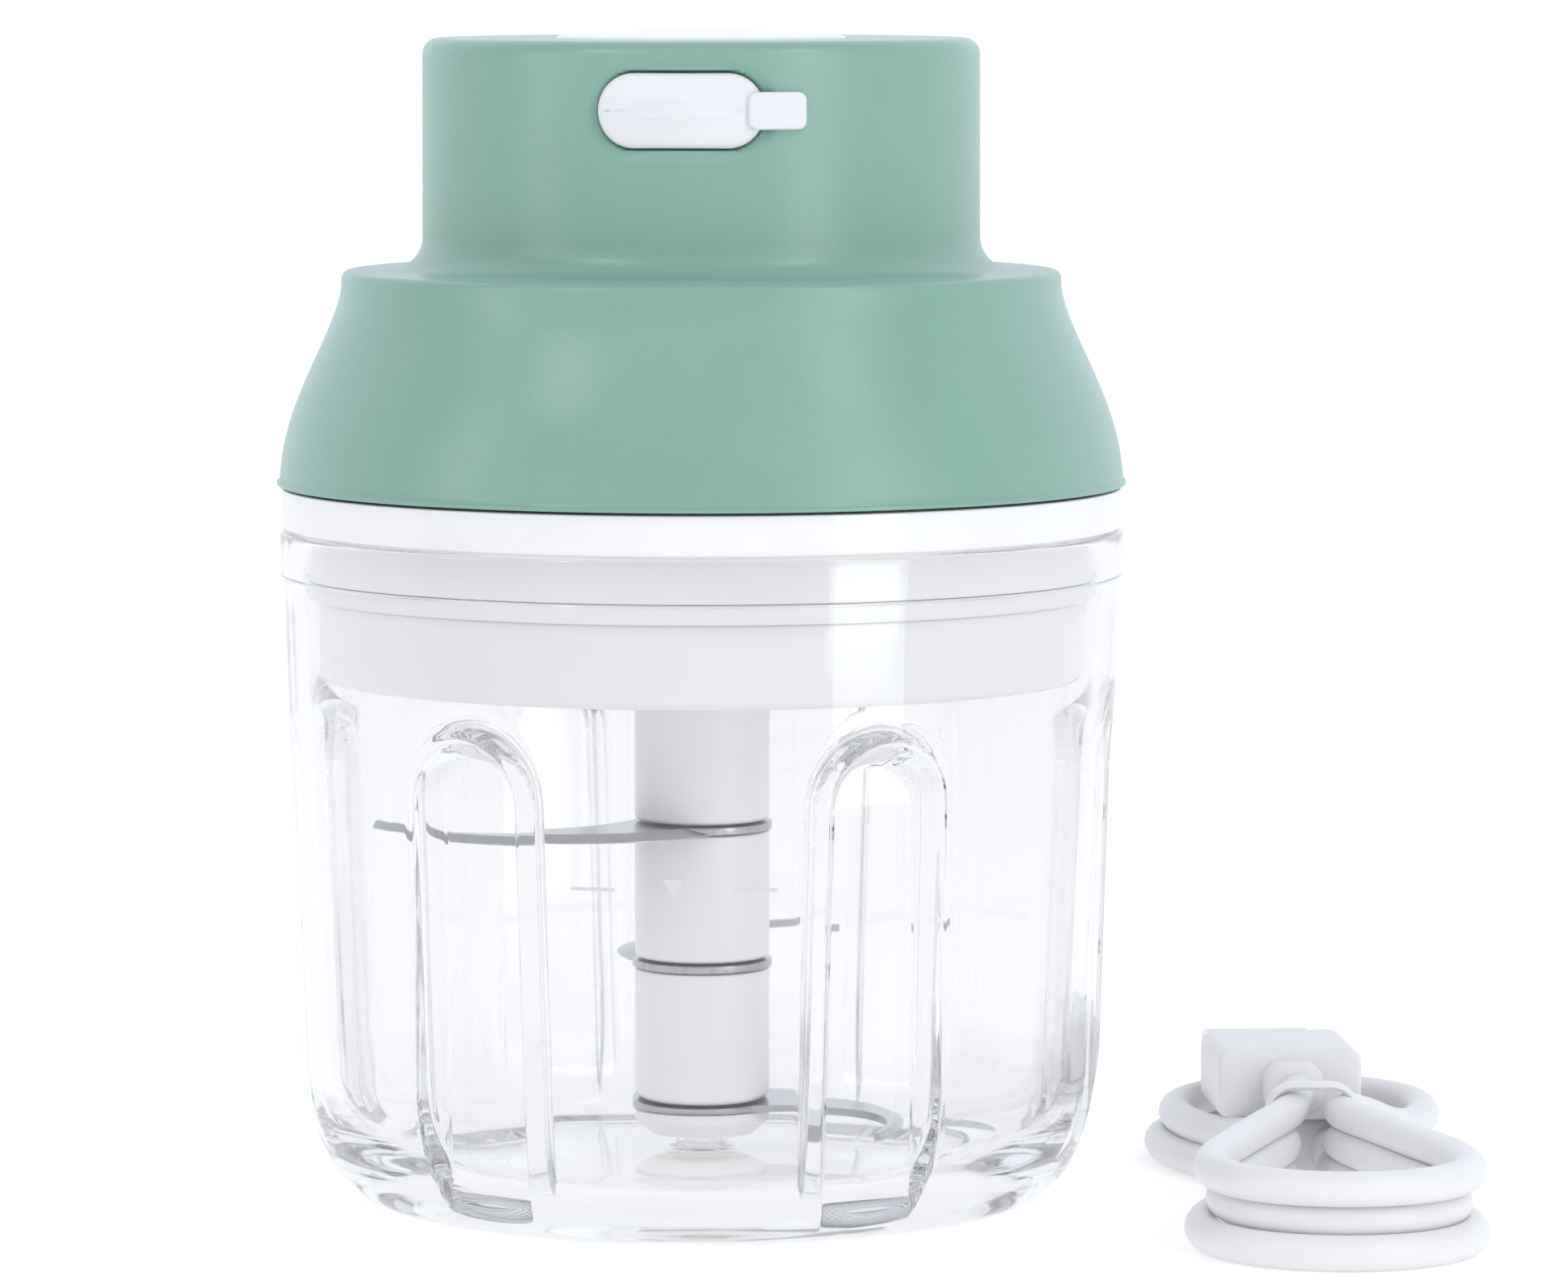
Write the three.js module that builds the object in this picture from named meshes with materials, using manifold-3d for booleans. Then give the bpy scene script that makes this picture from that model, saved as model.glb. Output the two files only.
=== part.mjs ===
// A cordless mini food processor: a clear fluted bowl, a lift-out stack of three blades, a motor head
// that plugs into the bowl's mouth, and its charging lead tied in a hank beside it.
// Millimetres, +Z up. The origin is the centre of the bowl's foot, and the charging port faces -Y.
import * as THREE from "three";
import { mergeVertices } from "three/addons/utils/BufferGeometryUtils.js";
import Module from "manifold-3d";

// ---------------------------------------------------------------- driving dimensions
const GAP = 0.3; // between solids that touch on the real object
const ROUND = 32; // sides of a large round
const SMALL = 18; // sides of a small round

// Bowl
const FOOT_R = 34; // radius of the flat foot
const FOOT_RECESS_R = 29; // the underside is hollowed inside this
const CORNER_Z = 18; // the foot's corner is a quarter ellipse this high
const CORNER_R = 43.2; // and this far out at its top
const BODY_TOP_R = 44.6; // the wall's outer radius under the rim band
const RIM_R = 45; // outer radius of the rim band
const RIM_BAND_Z = 66.9; // the rim band runs from here
const RIM_Z = 71.8; // to here
const SEAT_R = 42.5; // the mouth's inner radius, where the head's seal sits
const SEAT_Z = 64.6; // bottom of that seat
const WALL_TOP_R = 41.7; // inner radius just under the seat
const WALL_LOW_R = 40.1; // inner radius where the wall meets the floor's curve
const FLOOR_Z = 2.8; // the inside floor
const FLOOR_R = 25; // flat part of the inside floor
const POST_R = 2.85; // post that the blade stack turns on
const POST_TOP = 13;
const FLUTES = 6;
const FLUTE_TOP = 52.8; // top of a flute's arch
const FLUTE_HALF = 7.2; // half its width at the wall
const FLUTE_FLOOR_HALF = 4.9; // half its width at its floor
const FLUTE_FLOOR_R = 40.4; // its floor's distance from the axis
const FLUTE_WALL = 2.8; // wall left behind a flute

// Head
const SKIRT_Z = 76.6; // bottom edge of the green shell
const SHELL_WALL = 2.2;
const NECK_R = 29.65;
const NECK_Z = 103.5; // the neck's fillet starts here
const LEDGE_Z = 99.4;
const LEDGE_R = 38.3;
const TOP_Z = 124;
const TOP_EDGE = 1.6; // rounding of the top edge
const BUTTON_R = 15.5;
const BUTTON_RISE = 0.8; // the button's crown stands this proud
const PORT_Z = 117.2; // centre of the charging port
const PORT_W = 17.7;
const PORT_H = 7.75;
const TAB_REACH = 4.2; // the pull tab reaches this far past the cover
const PORT_FLOOR_Y = -26.9; // bottom of the pocket that the cover lies in

// Lid cup under the motor, white
const CUP_Z = 56.1; // its underside
const CUP_FLOOR = 2.2;
const CUP_R = 41; // radius inside the bowl
const CUP_NECK_R = 41.9; // radius just under its flange
const FLANGE_R = 44.9;
const FLANGE_Z = 72.1; // bottom of the visible white band
const FLANGE_TOP = 76.3;
const COLLAR_R = 8; // hole that the blade stack's top runs in
const BEARING_Z = 61.3; // web that carries the output bush

// Planetary reduction: sun on the motor shaft, fixed ring, carrier on the output shaft
const MODULE = 0.6;
const SUN_TEETH = 12;
const PLANET_TEETH = 18;
const RING_TEETH = SUN_TEETH + 2 * PLANET_TEETH;
const PRESSURE = (25 * Math.PI) / 180;
const BACKLASH = 0.16; // taken off each tooth's thickness
const ADDENDUM = 0.8 * MODULE;
const DEDENDUM = 1.15 * MODULE;
const GEAR_W = 5;
const GEARBOX_Z = 64.5;
const GEARBOX_R = 17.5;
const GEARBOX_H = 11.5;
const EAR_R = 19.5; // the gearbox's screw ears lie on this radius
const CARRIER_Z = 66.4;
const PLANET_Z = 68.8;
const SHAFT_R = 3.2; // output shaft
const HEX_R = 3.1; // its driving hexagon, across corners / 2
const SHAFT_END = 48; // lower end of the output shaft

// Motor
const MOTOR_Z = 78.6;
const MOTOR_R = 12.1;
const MOTOR_H = 29.8;
const MOTOR_SHAFT_R = 1;

// Blade stack
const STACK_R = 7.25;
const STACK_FOOT = 5.3;
const STACK_TOP = 60;
const BLADE_T = 0.9;
const CORE_R = 5; // hexagonal core, across corners / 2
// Each blade's height, the way its arm points and its tip's distance from the axis, from the top down
const BLADES = [
  { name: "blade_top", z: 39.2, turn: 185, reach: 35.5 },
  { name: "blade_middle", z: 24.4, turn: 71, reach: 35.5 },
  { name: "blade_bottom", z: 9.4, turn: 313, reach: 30 },
];

// Charging lead: a 0.56 m cord in a hank with two round ends
const CORD_D = 3.7;
const HANK = { x: 65.5, y: -2, turn: 5 }; // where it lies, and its turn about +Z in degrees
const LOOP_R = 14.3; // radius of the end loops, at the cord's centre
const FAR_LOOP = 31.5; // centres of the far and near loops, from the tie
const NEAR_LOOP = -31;
const PINCH = CORD_D / 2; // the cord's centre at the tie
const LAYERS = 3;
const TIE_T = 1.2; // the tie's thickness
// Each plug's shell and body sections, and where its body and shell run from and to along the hank
const USB_A = {
  width: 12,
  height: 4.5,
  bodyWidth: 15.6,
  bodyHeight: 7.8,
  from: 12.2,
  to: 28.2,
  tip: 40.8,
  x: -0.6,
  z: 10.75,
  turn: 3,
};
const MICRO = {
  width: 6.9,
  height: 1.8,
  bodyWidth: 10.2,
  bodyHeight: 6.2,
  from: 16.6,
  to: 31.8,
  tip: 37.4,
  x: 4.3,
  z: 3.15,
};

const TAU = 2 * Math.PI;
const rad = (degrees) => (degrees * Math.PI) / 180;

// ---------------------------------------------------------------- materials
const plastic = (color, roughness) => new THREE.MeshStandardMaterial({ color, roughness, metalness: 0 });
const metal = (color, roughness) => new THREE.MeshStandardMaterial({ color, roughness, metalness: 1 });
const MATERIAL = {
  green: plastic(0x8fb8a8, 0.55),
  white: plastic(0xf1f1f2, 0.4),
  clear: new THREE.MeshStandardMaterial({ color: 0xf4f7f8, roughness: 0.05, transparent: true, opacity: 0.3 }),
  silicone: plastic(0xf3f3f5, 0.7),
  nylon: plastic(0xe8e4d8, 0.5),
  board: plastic(0x1f6b45, 0.5),
  black: plastic(0x1d1d1f, 0.5),
  magnet: plastic(0x3a3a3e, 0.6),
  cell: plastic(0x3f6fae, 0.35),
  steel: metal(0xc9cbce, 0.25),
  bronze: metal(0xa9793f, 0.4),
  copper: metal(0xb5673a, 0.4),
};

// ---------------------------------------------------------------- solids
const wasm = await Module();
wasm.setup();

// A closed geometry as a manifold-3d solid, its faces turned out.
function solid(geometry) {
  const bare = geometry.index ? geometry.toNonIndexed() : geometry.clone();
  for (const name of Object.keys(bare.attributes)) {
    if (name !== "position") bare.deleteAttribute(name);
  }
  const merged = mergeVertices(bare, 1e-3);
  const corners = merged.index.array;
  const faces = [];
  for (let i = 0; i < corners.length; i += 3) {
    const [a, b, c] = corners.slice(i, i + 3);
    if (a !== b && b !== c && c !== a) faces.push([a, b, c]);
  }
  const make = (list) =>
    new wasm.Manifold(
      new wasm.Mesh({
        numProp: 3,
        vertProperties: merged.attributes.position.array,
        triVerts: new Uint32Array(list.flat()),
      }),
    );
  const made = make(faces);
  return made.volume() < 0 ? make(faces.map(([a, b, c]) => [a, c, b])) : made;
}

function geometryOf(made) {
  const mesh = made.getMesh();
  const points = new Float32Array(mesh.numVert * 3);
  for (let i = 0; i < mesh.numVert; i++) {
    points.set(mesh.vertProperties.subarray(i * mesh.numProp, i * mesh.numProp + 3), i * 3);
  }
  return new THREE.BufferGeometry()
    .setAttribute("position", new THREE.BufferAttribute(points, 3))
    .setIndex(new THREE.BufferAttribute(mesh.triVerts, 1));
}

const join = (...parts) => geometryOf(parts.map(solid).reduce((all, part) => all.add(part)));
const cut = (body, ...tools) =>
  geometryOf(tools.map(solid).reduce((left, tool) => left.subtract(tool), solid(body)));
const common = (a, b) => geometryOf(solid(a).intersect(solid(b)));

// A profile of [radius, height] points turned about +Z.
const lathe = (profile, sides = ROUND) =>
  new THREE.LatheGeometry(
    profile.map(([r, z]) => new THREE.Vector2(r, z)),
    sides,
  ).rotateX(Math.PI / 2);
const ring = (outer, inner, low, high, sides = ROUND) =>
  lathe([[inner, low], [outer, low], [outer, high], [inner, high], [inner, low]], sides);
const rod = (radius, low, high, sides = SMALL) =>
  lathe([[0, low], [radius, low], [radius, high], [0, high]], sides);
const block = (x0, x1, y0, y1, z0, z1) =>
  new THREE.BoxGeometry(x1 - x0, y1 - y0, z1 - z0).translate((x0 + x1) / 2, (y0 + y1) / 2, (z0 + z1) / 2);
const moved = (geometry, x, y, z = 0) => geometry.clone().translate(x, y, z);
const around = (geometry, angle) => geometry.clone().rotateZ(angle);
const plate = (shape, low, high, curveSegments = 12) =>
  new THREE.ExtrudeGeometry(shape, { depth: high - low, bevelEnabled: false, curveSegments })
    .translate(0, 0, low);
const polygon = (points) => new THREE.Shape(points.map(([x, y]) => new THREE.Vector2(x, y)));
const regular = (corners, radius) =>
  polygon(Array.from({ length: corners }, (_, i) => [
    radius * Math.cos((i * TAU) / corners),
    radius * Math.sin((i * TAU) / corners),
  ]));

// A solid through convex rings of points, each ring with the same number of them.
function loft(rings) {
  const count = rings[0].length;
  const triangles = [];
  const face = (...points) => triangles.push(...points.flat());
  for (let i = 0; i + 1 < rings.length; i++) {
    for (let k = 0; k < count; k++) {
      const next = (k + 1) % count;
      face(rings[i][k], rings[i][next], rings[i + 1][next]);
      face(rings[i][k], rings[i + 1][next], rings[i + 1][k]);
    }
  }
  const last = rings[rings.length - 1];
  for (let k = 1; k + 1 < count; k++) {
    face(rings[0][0], rings[0][k + 1], rings[0][k]);
    face(last[0], last[k], last[k + 1]);
  }
  const positions = new THREE.Float32BufferAttribute(triangles, 3);
  return new THREE.BufferGeometry().setAttribute("position", positions);
}

// Points of a cubic curve, without its first point.
function curve(p0, p1, p2, p3, steps) {
  const line = new THREE.CubicBezierCurve(...[p0, p1, p2, p3].map(([x, y]) => new THREE.Vector2(x, y)));
  return line.getPoints(steps).slice(1).map((p) => [p.x, p.y]);
}

// Points of an elliptical arc from one angle to another, in degrees.
function arc(cx, cy, rx, ry, from, to, steps) {
  return Array.from({ length: steps + 1 }, (_, i) => {
    const angle = rad(from + ((to - from) * i) / steps);
    return [cx + rx * Math.cos(angle), cy + ry * Math.sin(angle)];
  });
}

// A pill-shaped or round-cornered outline, centred on the origin.
function rounded(width, height, radius) {
  const x = width / 2 - radius;
  const y = height / 2 - radius;
  const shape = new THREE.Shape();
  shape.absarc(x, y, radius, 0, Math.PI / 2);
  shape.absarc(-x, y, radius, Math.PI / 2, Math.PI);
  shape.absarc(-x, -y, radius, Math.PI, 1.5 * Math.PI);
  shape.absarc(x, -y, radius, 1.5 * Math.PI, TAU);
  return shape;
}

const root = new THREE.Group();

function add(group, name, geometry, material) {
  const flat = geometry.index ? geometry.toNonIndexed() : geometry;
  flat.computeVertexNormals();
  const mesh = new THREE.Mesh(flat, material);
  mesh.name = name;
  group.add(mesh);
  return mesh;
}

function group(x = 0, y = 0, z = 0, turn = 0) {
  const made = new THREE.Group();
  made.position.set(x, y, z);
  made.rotation.z = rad(turn);
  root.add(made);
  return made;
}

// ---------------------------------------------------------------- bowl
// The arch outline of a flute at a distance from the axis, widened by grow.
function fluteRing(distance, half, grow) {
  const wide = half + grow;
  const centre = FLUTE_TOP - FLUTE_HALF;
  const top = arc(0, centre, wide, wide, 0, 180, 8);
  return [...top, [-wide, -2], [wide, -2]].map(([y, z]) => [distance, y, z]);
}

function flute(index, grow, deeper) {
  const far = 50;
  const slope = (FLUTE_HALF - FLUTE_FLOOR_HALF) / (BODY_TOP_R - FLUTE_FLOOR_R);
  const floor = FLUTE_FLOOR_R - deeper;
  const farHalf = FLUTE_FLOOR_HALF + slope * (far - FLUTE_FLOOR_R);
  const floorHalf = FLUTE_FLOOR_HALF - slope * deeper;
  const shape = loft([fluteRing(floor, floorHalf, grow), fluteRing(far, farHalf, grow)]);
  return around(shape, rad(-90 + 360 / FLUTES / 2 + (360 / FLUTES) * index));
}

function bowl() {
  const outside = lathe([
    [0, 0.8],
    [FOOT_RECESS_R, 0.8],
    [FOOT_RECESS_R + 1, 0],
    ...arc(FOOT_R, CORNER_Z, CORNER_R - FOOT_R, CORNER_Z, -90, 0, 5),
    [BODY_TOP_R, RIM_BAND_Z],
    [RIM_R, RIM_BAND_Z],
    [RIM_R, RIM_Z - 0.4],
    [RIM_R - 0.4, RIM_Z],
    [0, RIM_Z],
  ]);
  const inside = lathe([
    [0, FLOOR_Z],
    [FLOOR_R, FLOOR_Z],
    ...curve([FLOOR_R, FLOOR_Z], [34, FLOOR_Z], [WALL_LOW_R - 0.4, 7], [WALL_LOW_R, 16], 4),
    [WALL_TOP_R, SEAT_Z - 1],
    [SEAT_R, SEAT_Z],
    [SEAT_R, RIM_Z + 1],
    [0, RIM_Z + 1],
  ]);
  const each = Array.from({ length: FLUTES }, (_, i) => i);
  const body = cut(outside, ...each.map((i) => flute(i, 0, 0)));
  const bulges = each.map((i) => flute(i, FLUTE_WALL, FLUTE_WALL));
  const hollow = cut(inside, ...bulges, rod(POST_R, 0, POST_TOP));
  return cut(body, hollow);
}

const base = group();
add(base, "bowl", bowl(), MATERIAL.clear);

// ---------------------------------------------------------------- motor head: shell
const skirt = [[LEDGE_R, LEDGE_Z - 1.4], [38.9, 92.5], [44.6, 86], [45, SKIRT_Z + 0.5]];

const SCREW_R = 33; // the long screws that hold the cup to the shell
const SCREW_TURNS = [-90, 30, 150];
const GEARBOX_SCREW_TURNS = [60, 180, 300];
const onCircle = (radius, turn) => [radius * Math.cos(rad(turn)), radius * Math.sin(rad(turn))];

function shellBody() {
  const fillet = 4;
  const body = lathe([
    [BUTTON_R + 0.4, TOP_Z],
    ...arc(NECK_R - TOP_EDGE, TOP_Z - TOP_EDGE, TOP_EDGE, TOP_EDGE, 90, 0, 2),
    ...arc(NECK_R + fillet, NECK_Z, fillet, NECK_Z - LEDGE_Z, 180, 270, 2),
    [LEDGE_R - 1, LEDGE_Z - 0.2],
    [LEDGE_R, LEDGE_Z - 1.2],
    ...curve(...skirt, 5),
    [RIM_R + 0.3, SKIRT_Z + 0.3],
    [RIM_R + 0.3, SKIRT_Z],
    [42.8, SKIRT_Z],
    [42, 83.4],
    [36.4, 96],
    [36, LEDGE_Z - SHELL_WALL],
    [31.5, LEDGE_Z - SHELL_WALL],
    [NECK_R - SHELL_WALL, 101.5],
    [NECK_R - SHELL_WALL, TOP_Z - SHELL_WALL],
    [BUTTON_R + 0.4, TOP_Z - SHELL_WALL],
    [BUTTON_R + 0.4, TOP_Z],
  ]);
  const padSpace = block(-11.5, 11.5, -NECK_R, PORT_FLOOR_Y + 1.7, PORT_Z - 6.2, TOP_Z - 1);
  const pad = common(rod(NECK_R - 0.8, 100, TOP_Z - 1, ROUND), padSpace);
  const pillar = () => rod(3.2, CUP_Z + CUP_FLOOR + GAP, 98.5, 12);
  const pillars = SCREW_TURNS.map((turn) => moved(pillar(), ...onCircle(SCREW_R, turn)));
  return join(body, pad, ...pillars);
}

// Stands an outline up in the XZ plane at the port, from one Y to another.
const atPort = (shape, y0, y1) =>
  plate(shape, 0, y1 - y0, 5)
    .rotateX(Math.PI / 2)
    .translate(0, y1, PORT_Z);

function shell() {
  const pocket = atPort(rounded(PORT_W + 0.9, PORT_H + 0.9, (PORT_H + 0.9) / 2 - 0.01), -34, PORT_FLOOR_Y);
  const slot = atPort(rounded(8.4, 3.7, 0.8), -34, -20);
  const pilots = SCREW_TURNS.map((turn) => moved(rod(1.4, 50, 70, 8), ...onCircle(SCREW_R, turn)));
  return cut(shellBody(), pocket, slot, ...pilots);
}

function portCover() {
  const back = PORT_FLOOR_Y - 0.4;
  const skin = rod(NECK_R + 0.25, PORT_Z - 6, PORT_Z + 6, 60);
  const lid = common(skin, atPort(rounded(PORT_W, PORT_H, PORT_H / 2 - 0.01), -34, back));
  const bar = ring(NECK_R + 1.25, NECK_R + GAP, PORT_Z - 6, PORT_Z + 6, 60);
  const reach = block(PORT_W / 2 - 2.2, PORT_W / 2 + TAB_REACH, -34, -20, PORT_Z - 1.9, PORT_Z + 1.9);
  const root = block(PORT_W / 2 - 2.2, PORT_W / 2 - 0.8, -29.2, -28.2, PORT_Z - 1.9, PORT_Z + 1.9);
  const plug = atPort(rounded(7.2, 2.6, 0.6), back - 0.4, PORT_FLOOR_Y);
  return join(lid, common(bar, reach), root, plug);
}

const head = group();
add(head, "head_shell", shell(), MATERIAL.green);
add(head, "port_cover", portCover(), MATERIAL.silicone);

// ---------------------------------------------------------------- motor head: button and electronics
const BUTTON_UNDER = TOP_Z - 2.7;
const BOARD_TOP = 115.5;

const button = lathe([
  [0, BUTTON_UNDER - 1.4],
  [2.5, BUTTON_UNDER - 1.4],
  [2.5, BUTTON_UNDER],
  [BUTTON_R - 1.5, BUTTON_UNDER],
  [BUTTON_R - 1.5, BUTTON_UNDER - 1.5],
  [BUTTON_R + 1.8, BUTTON_UNDER - 1.5],
  [BUTTON_R + 1.8, TOP_Z - SHELL_WALL - GAP],
  [BUTTON_R, TOP_Z - SHELL_WALL - GAP],
  [BUTTON_R, TOP_Z - 0.2],
  [BUTTON_R - 0.6, TOP_Z + 0.3],
  [0, TOP_Z + BUTTON_RISE],
]);
add(head, "power_button", button, MATERIAL.white);

const boardShape = regular(36, 24);
add(head, "control_board", plate(boardShape, BOARD_TOP - 1.6, BOARD_TOP), MATERIAL.board);
const switchBody = cut(block(-3, 3, -3, 3, BOARD_TOP + GAP, 118.1), rod(2.1, 116.5, 120, 16));
add(head, "switch_body", switchBody, MATERIAL.black);
add(head, "switch_plunger", rod(1.7, 117.9, BUTTON_UNDER - 1.4 - GAP, 16), MATERIAL.black);

function usbSocket() {
  const front = PORT_FLOOR_Y + 0.3;
  const can = atPort(rounded(7.6, 2.9, 0.7), front, front + 5.6);
  const mouth = atPort(rounded(7, 2.3, 0.5), front - 1, front + 4.8);
  const tongue = block(-1.9, 1.9, front + 0.6, front + 5, PORT_Z + 0.1, PORT_Z + 0.7);
  return join(cut(can, mouth), tongue);
}
add(head, "usb_socket", usbSocket(), MATERIAL.steel);

const CELL_Y = 27.6;
add(head, "battery_cell", moved(rod(9.1, 59, 93.4, 32), 0, CELL_Y), MATERIAL.cell);
add(head, "battery_terminal", moved(rod(3, 93.4 + GAP, 94.6, 16), 0, CELL_Y), MATERIAL.steel);

// ---------------------------------------------------------------- motor head: lid cup, seal and bush
function lidCup() {
  const floor = CUP_Z + CUP_FLOOR;
  const cup = lathe([
    [COLLAR_R, CUP_Z],
    [CUP_R - 1, CUP_Z],
    [CUP_R, CUP_Z + 1],
    [CUP_R, 64.9],
    [CUP_R - 1.2, 64.9],
    [CUP_R - 1.2, 67.1],
    [CUP_NECK_R, 67.1],
    [CUP_NECK_R, FLANGE_Z],
    [FLANGE_R, FLANGE_Z],
    [FLANGE_R, FLANGE_TOP],
    [CUP_NECK_R, FLANGE_TOP],
    [CUP_NECK_R, 79.5],
    [39.4, 79.5],
    [37.8, floor],
    [COLLAR_R + 2, floor],
    [COLLAR_R + 2, BEARING_Z + 2],
    [6.3, BEARING_Z + 2],
    [6.3, BEARING_Z],
    [COLLAR_R, BEARING_Z],
    [COLLAR_R, CUP_Z],
  ]);
  const boss = () => rod(3, floor - 0.5, 64.2, 12);
  const bore = () => rod(1.4, floor + 0.4, 66, 8);
  const bosses = GEARBOX_SCREW_TURNS.map((turn) => moved(boss(), ...onCircle(EAR_R, turn)));
  const bores = GEARBOX_SCREW_TURNS.map((turn) => moved(bore(), ...onCircle(EAR_R, turn)));
  const holes = SCREW_TURNS.flatMap((turn) => [
    moved(rod(1.6, 50, 60, 8), ...onCircle(SCREW_R, turn)),
    moved(rod(2.9, 50, CUP_Z + 1.5, 12), ...onCircle(SCREW_R, turn)),
  ]);
  return cut(join(cup, ...bosses), ...bores, ...holes);
}
add(head, "lid_cup", lidCup(), MATERIAL.white);
add(head, "lid_seal", ring(CUP_R + 1.1, CUP_R - 0.9, 65.2, 66.8), MATERIAL.silicone);
add(head, "output_bush", ring(6, 3.3, 60.8, 63.8, SMALL), MATERIAL.bronze);

function screw(headR, headH, shankR, shankL) {
  const body = rod(headR, 0, headH, 12);
  const shank = rod(shankR, headH - 0.2, headH + shankL, 8);
  return cut(join(body, shank), block(-headR, headR, -0.3, 0.3, -0.1, 0.5));
}

SCREW_TURNS.forEach((turn, i) => {
  const mesh = add(head, `cup_screw_${i + 1}`, screw(2.5, 1.1, 1.1, 11), MATERIAL.steel);
  mesh.position.set(...onCircle(SCREW_R, turn), CUP_Z + 0.2);
});

// ---------------------------------------------------------------- motor head: planetary gearbox
const pitchRadius = (teeth) => (MODULE * teeth) / 2;
const involute = (angle) => Math.tan(angle) - angle;

// Half the angle that a tooth fills at a radius.
function toothHalf(teeth, radius, thinning) {
  const pitch = pitchRadius(teeth);
  const baseR = pitch * Math.cos(PRESSURE);
  const here = Math.acos(Math.min(1, baseR / Math.max(radius, baseR)));
  return Math.PI / 2 / teeth - thinning / 2 / pitch + involute(PRESSURE) - involute(here);
}

// A gear's outline with a tooth centred on angle phase, its flanks as straight stretches.
function gearOutline(teeth, phase, tip, foot, thinning) {
  const pitch = pitchRadius(teeth);
  const radii = teeth > PLANET_TEETH ? [pitch - foot, pitch + tip] : [pitch - foot, pitch, pitch + tip];
  const points = [];
  for (let i = 0; i < teeth; i++) {
    const centre = phase + (i * TAU) / teeth;
    const side = (radius, sign) => {
      const angle = centre + sign * toothHalf(teeth, radius, thinning);
      return [radius * Math.cos(angle), radius * Math.sin(angle)];
    };
    points.push(...radii.map((r) => side(r, -1)), ...radii.toReversed().map((r) => side(r, 1)));
  }
  return points;
}

const planetTurn = (i) => Math.PI / 2 + (i * TAU) / 3;
const planetPhase = (turn) => turn + Math.PI + (turn * SUN_TEETH) / PLANET_TEETH - Math.PI / PLANET_TEETH;
const firstPhase = planetPhase(planetTurn(0)) - planetTurn(0);
const ringPhase = planetTurn(0) + (firstPhase * PLANET_TEETH) / RING_TEETH;
const PLANET_ORBIT = pitchRadius(SUN_TEETH + PLANET_TEETH);
const PIN_R = 1.5;

const gearPlate = (outline, bore, low, high) => {
  const shape = polygon(outline);
  shape.holes.push(new THREE.Path().absarc(0, 0, bore, 0, TAU));
  return plate(shape, low, high, 10);
};

function gearboxHousing() {
  const top = GEARBOX_Z + GEARBOX_H;
  const can = ring(GEARBOX_R, 6.6, GEARBOX_Z, top);
  const well = rod(15.4, GEARBOX_Z + 1.5, PLANET_Z - 0.5, ROUND);
  const ringOutline = gearOutline(RING_TEETH, ringPhase, DEDENDUM, ADDENDUM, -BACKLASH);
  const space = plate(polygon(ringOutline), PLANET_Z - 0.7, top + 1);
  const ear = () => rod(3, GEARBOX_Z, top, 12);
  const ears = GEARBOX_SCREW_TURNS.map((turn) => moved(ear(), ...onCircle(EAR_R, turn)));
  const bores = GEARBOX_SCREW_TURNS.map((turn) => moved(rod(1.4, 60, 80, 8), ...onCircle(EAR_R, turn)));
  return cut(join(can, ...ears), well, space, ...bores);
}
add(head, "gearbox_housing", gearboxHousing(), MATERIAL.nylon);

function gearboxCover() {
  const low = GEARBOX_Z + GEARBOX_H + GAP;
  const disc = ring(GEARBOX_R, 3.6, low, low + 2);
  const ears = GEARBOX_SCREW_TURNS.map((turn) => moved(rod(3, low, low + 2, 12), ...onCircle(EAR_R, turn)));
  const bores = GEARBOX_SCREW_TURNS.map((turn) => moved(rod(1.4, 60, 80, 8), ...onCircle(EAR_R, turn)));
  const motorHoles = [-8, 8].map((x) => moved(rod(1.4, 60, 80, 8), x, 0));
  return cut(join(disc, ...ears), ...bores, ...motorHoles);
}
add(head, "gearbox_cover", gearboxCover(), MATERIAL.nylon);

GEARBOX_SCREW_TURNS.forEach((turn, i) => {
  const mesh = add(head, `gearbox_screw_${i + 1}`, screw(2.2, 1.2, 1.05, 16), MATERIAL.steel);
  mesh.rotation.x = Math.PI; // driven from above
  mesh.position.set(...onCircle(EAR_R, turn), GEARBOX_Z + GEARBOX_H + GAP + 2 + GAP + 1.2);
});

function carrier() {
  const disc = rod(13.2, CARRIER_Z, CARRIER_Z + 2, ROUND);
  const shaft = rod(SHAFT_R, 60.3, CARRIER_Z + 1, SMALL);
  const hexagon = plate(regular(6, HEX_R), SHAFT_END, 60.5);
  const pin = () => rod(PIN_R, CARRIER_Z + 1, PLANET_Z + GEAR_W - 0.3, 16);
  const place = (i) => onCircle(PLANET_ORBIT, (planetTurn(i) * 360) / TAU);
  const pins = [0, 1, 2].map((i) => moved(pin(), ...place(i)));
  return join(disc, shaft, hexagon, ...pins);
}
add(head, "planet_carrier", carrier(), MATERIAL.steel);

for (let i = 0; i < 3; i++) {
  const outline = gearOutline(PLANET_TEETH, planetPhase(planetTurn(i)), ADDENDUM, DEDENDUM, BACKLASH);
  const gear = gearPlate(outline, PIN_R + 0.15, 0, GEAR_W);
  const mesh = add(head, `planet_gear_${i + 1}`, gear, MATERIAL.nylon);
  mesh.position.set(...onCircle(PLANET_ORBIT, (planetTurn(i) * 360) / TAU), PLANET_Z);
}
const sunOutline = gearOutline(SUN_TEETH, 0, ADDENDUM, DEDENDUM, BACKLASH);
const sun = gearPlate(sunOutline, MOTOR_SHAFT_R + GAP, 0, GEAR_W);
add(head, "sun_gear", sun, MATERIAL.bronze).position.z = PLANET_Z;

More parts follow.
